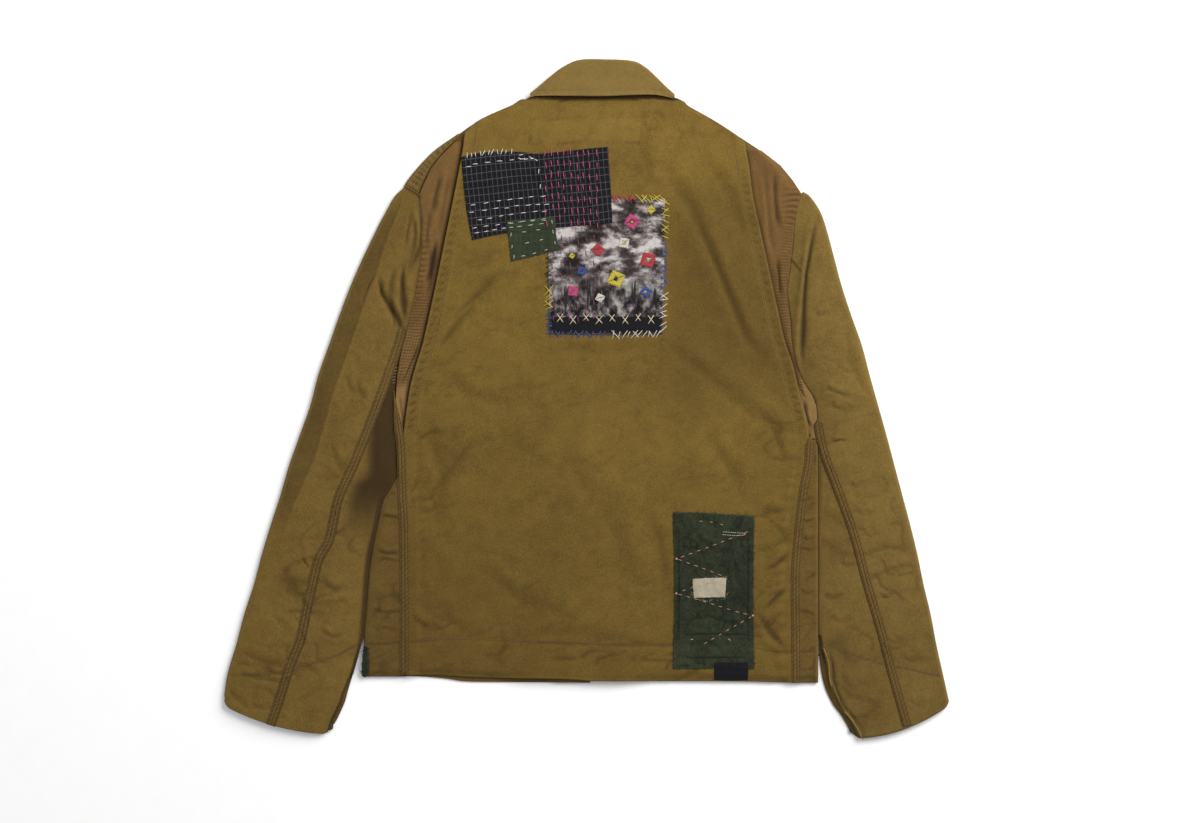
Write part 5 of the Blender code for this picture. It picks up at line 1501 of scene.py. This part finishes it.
SIDE_CORNER = ([(361.5, 676.5), (365, 677), (369, 676)], [(363.5, 647), (366, 646), (368.5, 647.5)],
               (362, 660), (369.5, 660))
CHECK_FOLDS = [
    ([(538, 154), (538.5, 185), (541, 228)], 3.0, 0.9, 0.7, 0.30),
    ([(530, 170), (535, 178), (541, 184)], 2.2, 0.9, 0.6, 0.55),
    ([(470, 232), (500, 224), (535, 222)], 4.0, 0.6, 0.4, 0.25),
    ([(560, 150), (563, 188), (566, 226)], 4.0, 0.5, 0.4, 0.20),
    ([(585, 149), (586, 190), (588, 224)], 4.0, 0.5, 0.4, 0.20),
    ([(465, 190), (490, 186), (520, 188)], 5.0, 0.5, 0.4, 0.15),
]
LARGE_FOLDS = [
    ([(673, 634.5), (713, 634), (754, 635)], 1.9, 0.9, 0.7, 0.60),
    ([(673, 658), (713, 657.5), (754, 658)], 1.9, 0.8, 0.6, 0.55),
    ([(678.6, 513), (679, 590), (678.6, 668)], 1.5, 0.6, 0.5, 0.45),
    ([(748, 516), (747.6, 590), (748, 668)], 1.5, 0.6, 0.5, 0.45),
    ([(690, 530), (712, 548), (735, 556)], 5.0, 0.6, 0.5, 0.22),
    ([(684, 575), (700, 606), (715, 628)], 5.0, 0.6, 0.5, 0.22),
    ([(730, 560), (740, 585), (744, 615)], 5.0, 0.6, 0.5, 0.22),
    ([(686, 622), (706, 616), (730, 622)], 3.0, 0.6, 0.5, 0.30),
    ([(690, 645), (706, 641), (722, 648)], 3.0, 0.6, 0.5, 0.30),
    ([(726, 520), (728, 560), (722, 600)], 6.0, 0.4, 0.3, 0.15),
]
PICTURE_FOLDS = [
    ([(560, 235), (575, 260), (590, 300)], 6.0, 0.4, 0.3, 0.10),
    ([(610, 205), (612, 260), (606, 330)], 6.0, 0.35, 0.3, 0.08),
    ([(550, 300), (600, 304), (660, 300)], 5.0, 0.35, 0.3, 0.10),
]


def make_patches():
    body = Ground("back_cloth", "seam_body_right", "side_cloth_right")
    patches = {}
    patches["picture"] = laid_patch("picture_patch", "patch_picture", PICTURE, printed, body,
                                    0.6, 1.5, 0.7, 11, PICTURE_FOLDS)
    under = Ground("back_cloth", "picture_patch")
    patches["check"] = laid_patch("check_patch", "patch_check", CHECK, check, under, 0.6, 1.5, 0.6,
                                  12, CHECK_FOLDS, bulge=0.3)
    under = Ground("back_cloth", "picture_patch", "check_patch")
    patches["small"] = laid_patch("small_green_patch", "patch_green_small", SMALL, green, under,
                                  0.6, 1.3, 0.6, 13)
    patches["large"] = laid_patch("large_green_patch", "patch_green_large", LARGE, dark_green,
                                  body, 0.7, 1.5, 1.0, 14, LARGE_FOLDS, 0.35, rumple=1.6)
    over = Ground("large_green_patch", "back_cloth")
    patches["cream"] = laid_patch("cream_label", "label_cream", CREAM, cream, over, 0.45, 1.2, 0.5,
                                  15)
    patches["hem"] = laid_patch("hem_label", "label_hem", HEM_LABEL, black, over, 0.5, 1.2, 0.15,
                                16)
    # A frayed green corner shows beside the left end of the hem
    patches["side"] = laid_patch("side_patch", "patch_side", SIDE_CORNER, dark_green,
                                 Ground("side_cloth_left"), 0.6, 1.0, 1.6, 17, blur=0)
    return patches


# Runs of stitches, on a finer grid over the check patch: the places and the stitches' angle

WHITE_RUNS = [
    ([(185, 240), (230, 222), (310, 212), (388, 203), (468, 196), (540, 190), (600, 188)], 6),
    ([(215, 490), (300, 477), (383, 463), (455, 455), (525, 447), (593, 437), (672, 435)], 8),
    ([(205, 538), (290, 525), (365, 512), (435, 510), (500, 495), (575, 492), (640, 487), (695, 487)], 8),
    ([(260, 587), (323, 577), (398, 562), (463, 552), (543, 541), (620, 533), (680, 533)], 9),
    ([(225, 640), (300, 628), (375, 620)], 9),
    ([(240, 672), (300, 663), (355, 652), (415, 642)], 9),
    ([(645, 270), (655, 370)], 84),
]
SAGE_RUNS = [
    ([(465, 610), (545, 597), (607, 590), (675, 583)], 8),
    ([(465, 637), (517, 631), (590, 622), (660, 614)], 8),
]
SAGE_RING = [(509, 223), (520, 222), (532, 221), (544, 220.5), (552, 222), (553, 232), (555, 243), (546, 250),
             (534, 253.5), (523, 256), (514, 257), (512, 247), (511, 235), (524, 232), (538, 230), (527, 243),
             (541, 240)]
SAGE_ANGLES = [3, 3, 3, 2, -80, -84, -82, 14, 14, 14, 80, 86, 86, 6, 6, 12, 12]
# Whipped edges of the picture patch: the edge, the spacing, the reach and the lean
WHIPPED = [
    ("red_whips", thread["red"], [([(612, 198.8), (638, 199)], 4.6, 9.0, 0.7)]),
    ("yellow_whips", thread["yellow"], [([(638, 199), (665, 199)], 4.4, 9.0, 0.9),
                                     ([(665, 201), (664.8, 240)], 6.5, 9.0, 0.6),
                                     ([(548.8, 310), (548.6, 285)], 5.0, 9.0, 0.8)]),
    ("blue_whips", thread["blue"], [([(664.6, 242), (664.2, 292)], 6.0, 9.0, 0.7),
                                 ([(549, 334.2), (610, 334.8)], 6.5, 8.0, 0.6),
                                 ([(549, 335), (548.9, 312)], 5.5, 8.0, 0.6)]),
    ("white_whips", thread["white"], [([(664, 292), (662.6, 334)], 6.5, 8.5, 0.6),
                                   ([(612, 334.8), (662.5, 334)], 5.6, 8.5, 0.5)]),
    ("dark_whips", thread["black"], [([(548.5, 283), (548.2, 250)], 5.6, 8.0, 0.6)]),
]
# Stitched diamonds of the picture patch: middle, radius, lean and bare middle
DIAMONDS = [
    ("pink_diamonds", thread["pink"], [(632, 222, 9.6, 12, 2.8), (573, 291, 7.6, 40, 0.0)]),
    ("red_diamonds", thread["red"], [(648, 260, 10.6, 30, 3.0), (598, 250, 8.2, 0, 0.0)]),
    ("yellow_diamonds", thread["yellow"], [(616, 279, 11.0, 20, 2.8), (651, 210, 5.2, 0, 0.0),
                                        (572, 256, 3.6, 10, 0.0)]),
    ("blue_diamonds", thread["blue"], [(582, 271, 6.2, 25, 0.0), (646, 292, 7.2, 5, 2.2)]),
    ("white_diamonds", thread["white"], [(624, 243, 7.4, 35, 2.2), (600, 298, 5.8, 15, 0.0)]),
]


def fine_grid(points):
    return [(x / 6.533 + 440.0, y / 6.533 + 130.0) for x, y in points]


def make_check_stitches(upper):
    """White and sage running stitches and pink columns; the wine columns go on below, on the picture patch."""
    runs = [dashes(fine_grid(points), 5.8, angle, n) for n, (points, angle) in enumerate(WHITE_RUNS)]
    runs.append(whips([(465, 157), (480, 154.5), (498, 153), (514, 152.6)], 5.0, 6.0, 0.25, 50, 0.7))
    runs.append(dashes([(519.5, 158.5), (526, 159.2), (531, 157.6), (536, 160), (521, 155)], 4.6,
                       [-20, 12, -30, -24, 8], 51))
    white = threads("white_stitches", runs, thread["white"], upper, 0.50, 0.5, 7, 6)
    runs = [dashes(fine_grid(points), 5.0, angle, 60 + n) for n, (points, angle) in enumerate(SAGE_RUNS)]
    runs.append(dashes(SAGE_RING, 4.6, SAGE_ANGLES, 62))
    sage = threads("sage_stitches", runs, thread["sage"], upper, 0.46, 0.45, 7, 6)
    rng = np.random.default_rng(70)
    pinks, faint = [], []
    for n, x in enumerate((545, 551.5, 558, 563.5, 570.5, 577, 583, 589, 596)):
        start = 151 + rng.uniform(0, 7)
        ys = np.arange(start, 226 if n not in (1, 3) else 218, 11.5 + rng.uniform(-0.6, 0.6))
        pinks += [(x + rng.uniform(-0.7, 0.7) + 0.02 * (y - 150), y) for y in ys]
    pink = threads("pink_stitches", [dashes(pinks, 7.6, 96, 71)], thread["pink"], upper, 0.52, 0.5, 7, 6)
    for x in (553, 561, 569.5, 577.5, 586, 594, 600.5):
        for y in np.arange(236 + rng.uniform(0, 8), 326, 13.0):
            if not (y < 252 and x < 560):
                faint.append((x + rng.uniform(-0.8, 0.8), y))
    wine = threads("wine_stitches", [dashes(faint, 7.4, 95, 72)], thread["wine"], upper, 0.46, 0.4, 7, 6)
    return [white, pink], [sage], [wine]


def make_picture_stitches(upper):
    """Whipped edges, diamonds and crosses of the picture patch."""
    edge = Ground("back_cloth", "picture_patch", "check_patch")
    made = []
    for n, (name, material, stretches) in enumerate(WHIPPED):
        runs = [whips(points, gap * wide, reach, way * lean * (1 if k % 2 else -1), seed + 7 * n + k)
                for wide, way, seed in ((1.0, 1, 80), (3.1, -1, 90))
                for k, (points, gap, reach, lean) in enumerate(stretches)]
        made.append(threads(name, runs, material, edge, 0.48, 0.6, 7, 6))
    for n, (name, material, places) in enumerate(DIAMONDS):
        runs = [diamond(*place, 100 + 5 * n + k) for k, place in enumerate(places)]
        made.append(threads(name, runs, material, upper, 0.46, 0.45, 6, 6))
    runs = [rosette(x, y, 1.7, 7, 130 + k, 0.05)
            for k, (x, y) in enumerate([(632, 222), (648, 260), (624, 244), (645, 292)])]
    made.append(threads("diamond_middles", runs, thread["yellow"], upper, 0.42, 0.7, 6, 6))
    made.append(threads("diamond_dark_middle", [rosette(616, 279, 1.9, 7, 139, 0.05)], thread["black"], upper, 0.42,
                        0.7, 6, 6))
    runs = []
    for n, y in enumerate((318, 320, 317.5, 320, 318, 320, 317.5, 319.5)):
        runs += [dashes([(560 + 13 * n, y)], 11.0, angle, seed + n) for angle, seed in ((52, 140), (-50, 150))]
    made.append(threads("pale_crosses", runs, thread["cream"], upper, 0.62, 0.35, 7, 6))
    bars = [(566, 286), (589, 278), (607, 292), (634, 280), (655, 288)]
    runs = [dashes([(x + 1.3 * (k - 1), (308 + high) / 2)], (308 - high) * PHOTO_STEP, 90, 160 + n + k)
            for n, (x, high) in enumerate(bars) for k in range(3)]
    made.append(threads("dark_bars", runs, thread["black"], upper, 0.62, 0.25, 9, 6))
    return made


def make_large_stitches():
    """Orange zigzag, seam rows, the slit with a black thread in it as a painted shadow, and frayed edges of the
    large green patch.
    """
    ground = Ground("large_green_patch", "back_cloth", "cream_label", "seam_body_right")
    corners = [(676.5, 558.8), (676.2, 593.5), (753, 615.6)]
    zigzag = [[(750, 530.7), (714, 545), corners[0]], [corners[0], (702, 568), (729, 578.4)],
              [(712, 582), (687, 589), corners[1]], [corners[1], (706, 602), (736.8, 611.8), corners[2]],
              [corners[2], (726, 631), (699.6, 646.4)]]
    runs = [running([(697, 521), (708, 521.6), (718.6, 523.4), (729, 527.4)], 12.0, 4.2, 200)]
    runs += [running(points, 9.6, 4.6, 201 + n) for n, points in enumerate(zigzag)]
    made = [threads("orange_stitches", runs, thread["orange"], ground, 0.36, 0.45, 7, 6)]
    runs = [rosette(*corner, 1.4, 6, 220 + n, 0.0) for n, corner in enumerate(corners)]
    runs += [dashes([(744.5, 533.6)], 3.4, -15, 230), dashes([(743.5, 535)], 3.0, 20, 231),
             dashes([(691.6, 639.4)], 3.6, 4, 228), dashes([(729.4, 639.6)], 3.2, -40, 229)]
    made.append(threads("orange_knots", runs, thread["orange"], ground, 0.5, 0.5, 6, 6))
    runs = [running([(721, 531.7), (732, 532.4), (744, 533.2)], 2.6, 2.3, 232),
            running([(721, 534.4), (732, 535.4), (744, 535.4)], 2.6, 2.3, 233)]
    made.append(threads("slit_stitches", runs, thread["sage"], ground, 0.36, 0.3, 6, 6))
    # A black thread lies in the slit as a painted shadow of the opening.
    made.append(threads("slit_painted_shadow", [dashes([(732, 533.6)], 20.0, -2, 234)], thread["black"], ground, 0.55, 0.05, 9,
                        6))
    runs = [machine_row(plan(points), 0.0, 2.6, 1.8, seed=240 + n) for n, points in enumerate([
        [(673.5, 633), (713, 632.5), (754, 633.4)], [(673.5, 636.4), (713, 636), (754, 636.8)],
        [(673.5, 656.4), (713, 656), (754, 656.4)], [(680.4, 514), (681, 590), (680.4, 668)],
        [(746.2, 517), (745.8, 590), (746.2, 668)]])]
    made.append(threads("green_machine_stitches", runs, thread["green"], ground, 0.26, 0.12))
    for n, (side, edge, count, reach) in enumerate([
            ("top", [(674, 512.4), (714, 513), (754, 516)], 60, 5.0),
            ("right", [(754, 516), (753.6, 590), (754, 668)], 70, 3.2),
            ("left", [(673, 513), (674.4, 590), (673, 668)], 60, 2.6)]):
        made.append(fringe("large_patch_fringe_" + side, edge, count, reach, thread["green"], ground, 250 + n))
    outline = [(692.6, 579), (710, 577.6), (726.3, 577.7), (724.9, 597.3), (694, 598), (692.6, 579)]
    made.append(fringe("cream_label_fringe", outline, 60, 2.0, thread["cream"], ground, 253, 0.12))
    return made


def make_cuff_edges():
    """The bound edge and the bar tacks of the right cuff's opening."""
    ground = Ground("sleeve_under_cloth_right", "sleeve_top_cloth_right")
    edge = [(822.5, 645), (828.4, 663), (830, 680), (838, 704), (849.5, 717), (857.5, 729), (863, 740)]
    bound = cord("cuff_edge_right", plan(edge), 0.8, binding, ground, 0.5)
    runs = tacks([(819.5, 654), (821.6, 655), (823.8, 656), (826, 657), (828, 658)], 7.5, 70, 260)
    runs += tacks([(822, 651), (823.5, 655), (825, 659.5), (826.5, 663)], 8.0, -24, 270)
    runs += tacks([(820.5, 645), (821, 647.6)], 4.6, 20, 280)
    return [bound, threads("cuff_bar_tacks", runs, thread["rust"], ground, 0.42, 0.9, 6, 6)]


def make_shoulder_edges():
    """The cross seam of the left shoulder."""
    ground = Ground("shoulder_cloth", "sleeve_top_cloth_left", "gusset_cloth_left")
    seam = cord("shoulder_cross_seam", plan([(403.8, 185.8), (411, 189.6), (420, 195.4)]), 1.15, khaki_seam,
                ground, 0.0)
    runs = tacks([(405, 187), (407.4, 188.4), (410, 190), (412.6, 191.4), (415, 192.8), (417.4, 194),
                  (419.4, 195.4), (421, 197)], 5.0, 62, 290)
    return [seam, threads("shoulder_tacks", runs, thread["dark"], ground, 0.36, 0.9, 6, 6)]


def make_gusset_edges():
    """Stitches where the gussets end: rows and a knot on the right, a bar tack on the left."""
    rows = [machine_row(plan(points), 0.0, 2.4, 1.7, seed=300 + n) for n, points in enumerate([
        [(784.4, 250.4), (794, 258.6), (801, 267.4), (804.6, 273)],
        [(786.6, 246.6), (796, 254.8), (803, 263.4), (806.4, 268.6)],
        [(788.6, 243), (798, 251.2), (805, 259.6), (808, 264)]])]
    pivot = threads("pivot_stitches", rows, thread["tan"], Ground("sleeve_top_cloth_right", "gusset_cloth_right"),
                    0.30, 0.14)
    ground = Ground("gusset_cloth_right", "sleeve_top_cloth_right", "sleeve_under_cloth_right", "back_cloth")
    runs = tacks([(800.5, 381), (801.5, 384), (803, 386.6), (802, 389), (804, 391)], 5.2, [20, -10, 25, -5, 15],
                 310)
    knot = threads("gusset_knot", runs, thread["tan"], ground, 0.55, 0.5, 6, 6)
    ground = Ground("sleeve_under_cloth_left", "sleeve_top_cloth_left", "gusset_cloth_left")
    runs = tacks([(395, 368), (394.6, 371), (394.2, 374), (393.6, 377), (393.2, 380), (393, 383)], 5.0, 8, 320)
    return [pivot, knot], [threads("sleeve_bar_tack", runs, thread["tan"], ground, 0.36, 0.5, 6, 6)]


# Buttons and snaps keep their solids and get better materials


def plastic_material():
    n = Nodes("brown_horn_plastic")
    where = n.place()
    swirl = n.noise(where, 160.0, 4.0, 0.6)
    scuff = n.noise(where, 900.0, 2.0)
    colour = n.ramp(swirl, [(0.30, "241a10"), (0.55, "3d2c1a"), (0.72, "5b4529")])
    n.bump(scuff, 0.3, 0.0001)
    return n.finish(colour, n.math("MULTIPLY_ADD", scuff, 0.3, 0.30), specular=0.4)


def metal_material():
    n = Nodes("worn_nickel")
    where = n.place()
    tarnish = n.noise(where, 380.0, 4.0, 0.6)
    scratch = n.noise(n.place(35.0, (1.0, 0.1, 1.0)), 2200.0, 2.0)
    colour = n.ramp(tarnish, [(0.32, "4a4334"), (0.55, "716852"), (0.75, "9a917b")])
    n.bump(scratch, 0.25, 0.00008)
    return n.finish(colour, n.math("MULTIPLY_ADD", scratch, 0.25, 0.18), metallic=1.0, specular=0.5)


def dress_fasteners():
    made = {"button": plastic_material(), "snap": metal_material()}
    for name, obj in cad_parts.items():
        if name.split("_")[0] in made:
            obj.data.materials.clear()
            obj.data.materials.append(made[name.split("_")[0]])


# Floor, light and camera


def place_object(name, data):
    obj = bpy.data.objects.new(name, data)
    bpy.context.scene.collection.objects.link(obj)
    return obj


def make_floor():
    n = Nodes("pale_floor")
    grain = n.noise(n.place(), 40.0, 3.0)
    tone = n.ramp(grain, [(0.3, (0.945, 0.945, 0.945)), (0.7, (0.96, 0.96, 0.96))])
    size, z = 6000.0, -0.4
    mesh = make_mesh("floor", [(-size, -size, z), (size, -size, z), (size, size, z), (-size, size, z)],
                     [(0, 1, 2, 3)])
    mesh.materials.append(n.finish(tone, 0.95, specular=0.0))
    place_object("floor", mesh)


def make_light(name, place, size, power, colour):
    """A square light that points at the middle of the jacket."""
    data = bpy.data.lights.new(name, "AREA")
    data.shape, data.size, data.energy, data.color = "SQUARE", size, power, colour
    obj = place_object(name, data)
    obj.location = place
    obj.rotation_euler = (-Vector(place)).to_track_quat("-Z", "Y").to_euler()


def make_stage():
    scene = bpy.context.scene
    make_floor()
    make_light("key", (1.9, 1.7, 1.75), 2.3, 146.0, (1.0, 0.985, 0.96))
    make_light("fill", (-1.6, 0.4, 2.6), 2.2, 16.0, (0.97, 0.98, 1.0))
    world = bpy.data.worlds.new("soft_room")
    world.use_nodes = True
    background = world.node_tree.nodes["Background"].inputs
    background["Color"].default_value = (0.97, 0.98, 1.0, 1.0)
    background["Strength"].default_value = 0.43
    scene.world = world
    scene.view_settings.view_transform = "Standard"
    scene.view_settings.look = "None"
    lens = bpy.data.cameras.new("camera")
    lens.lens, lens.sensor_width, lens.clip_start = 85.0, 36.0, 0.05
    scene.camera = place_object("camera", lens)
    scene.camera.location = (0.0152, -0.0145, 1.356 * 85.0 / 36.0 + 0.006)


def declare(obj, flat, rests_on, with_pieces=()):
    """Reads what a piece rests on and the pieces sewn to it; nothing is stored, and the piece and the size of its
    cloth are not used.
    """
    list(with_pieces)
    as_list(rests_on)


def main():
    cut = {"back": make_back()}
    for side in ("left", "right"):
        for name, make in (("side", make_side), ("gusset", make_gusset), ("front", make_front),
                           ("top", make_sleeve_top), ("under", make_sleeve_under)):
            cut[name + "_" + side] = make(side)
    cut["shoulder"] = make_shoulder()
    cut["collar"] = make_collar()
    for side, points in LEAVES.items():
        cut["leaf_" + side] = make_leaf(side, points)
    strips = make_seams()
    make_edge_stitches()
    patches = make_patches()
    loose = fringe("side_patch_fringe", [(363, 646), (362, 660), (361, 676)], 40, 3.0, thread["green"],
                   Ground("side_cloth_left", "side_patch"), 18)
    upper = Ground("back_cloth", "picture_patch", "check_patch", "small_green_patch")
    on_check, on_small, on_picture = make_check_stitches(upper)
    on_picture += make_picture_stitches(upper)
    on_large = make_large_stitches()
    cuff_edges, shoulder_edges = make_cuff_edges(), make_shoulder_edges()
    right_edges, left_edges = make_gusset_edges()
    dress_fasteners()
    make_stage()
    left, right = "front_cloth_left", "front_cloth_right"
    for name, flat, rests_on, sewn_on in (
            ("back", (0.465, 0.672), [left, right], strips[:4]),
            ("side_left", (0.062, 0.278), [left], []),
            ("side_right", (0.052, 0.278), [right], []),
            ("gusset_left", (0.052, 0.342), [left], left_edges),
            ("gusset_right", (0.067, 0.340), [right], right_edges),
            ("front_left", (0.250, 0.662), [], []),
            ("front_right", (0.282, 0.662), [left], []),
            ("top_left", (0.165, 0.635), ["sleeve_under_cloth_left"], strips[4:6]),
            ("top_right", (0.155, 0.635), ["sleeve_under_cloth_right"], strips[6:]),
            ("under_left", (0.125, 0.420), [], []),
            ("under_right", (0.125, 0.385), [], cuff_edges),
            ("shoulder", (0.020, 0.084), [left], shoulder_edges),
            ("collar", (0.165, 0.075), ["back_cloth"], []),
            ("leaf_left", (0.065, 0.088), [left], []),
            ("leaf_right", (0.065, 0.088), [right], [])):
        declare(cut[name], flat, rests_on, sewn_on)
    for name, flat, rests_on, sewn_on in (
            ("picture", (0.134, 0.155), ["back_cloth"], on_picture),
            ("check", (0.167, 0.097), ["back_cloth", "picture_patch"], on_check),
            ("small", (0.055, 0.047), ["back_cloth", "check_patch"], on_small),
            ("large", (0.093, 0.179), ["back_cloth"], on_large),
            ("cream", (0.039, 0.023), ["large_green_patch"], []),
            ("hem", (0.040, 0.022), ["large_green_patch", "back_cloth"], []),
            ("side", (0.010, 0.036), ["side_cloth_left"], [loose])):
        declare(patches[name], flat, rests_on, sewn_on)


main()
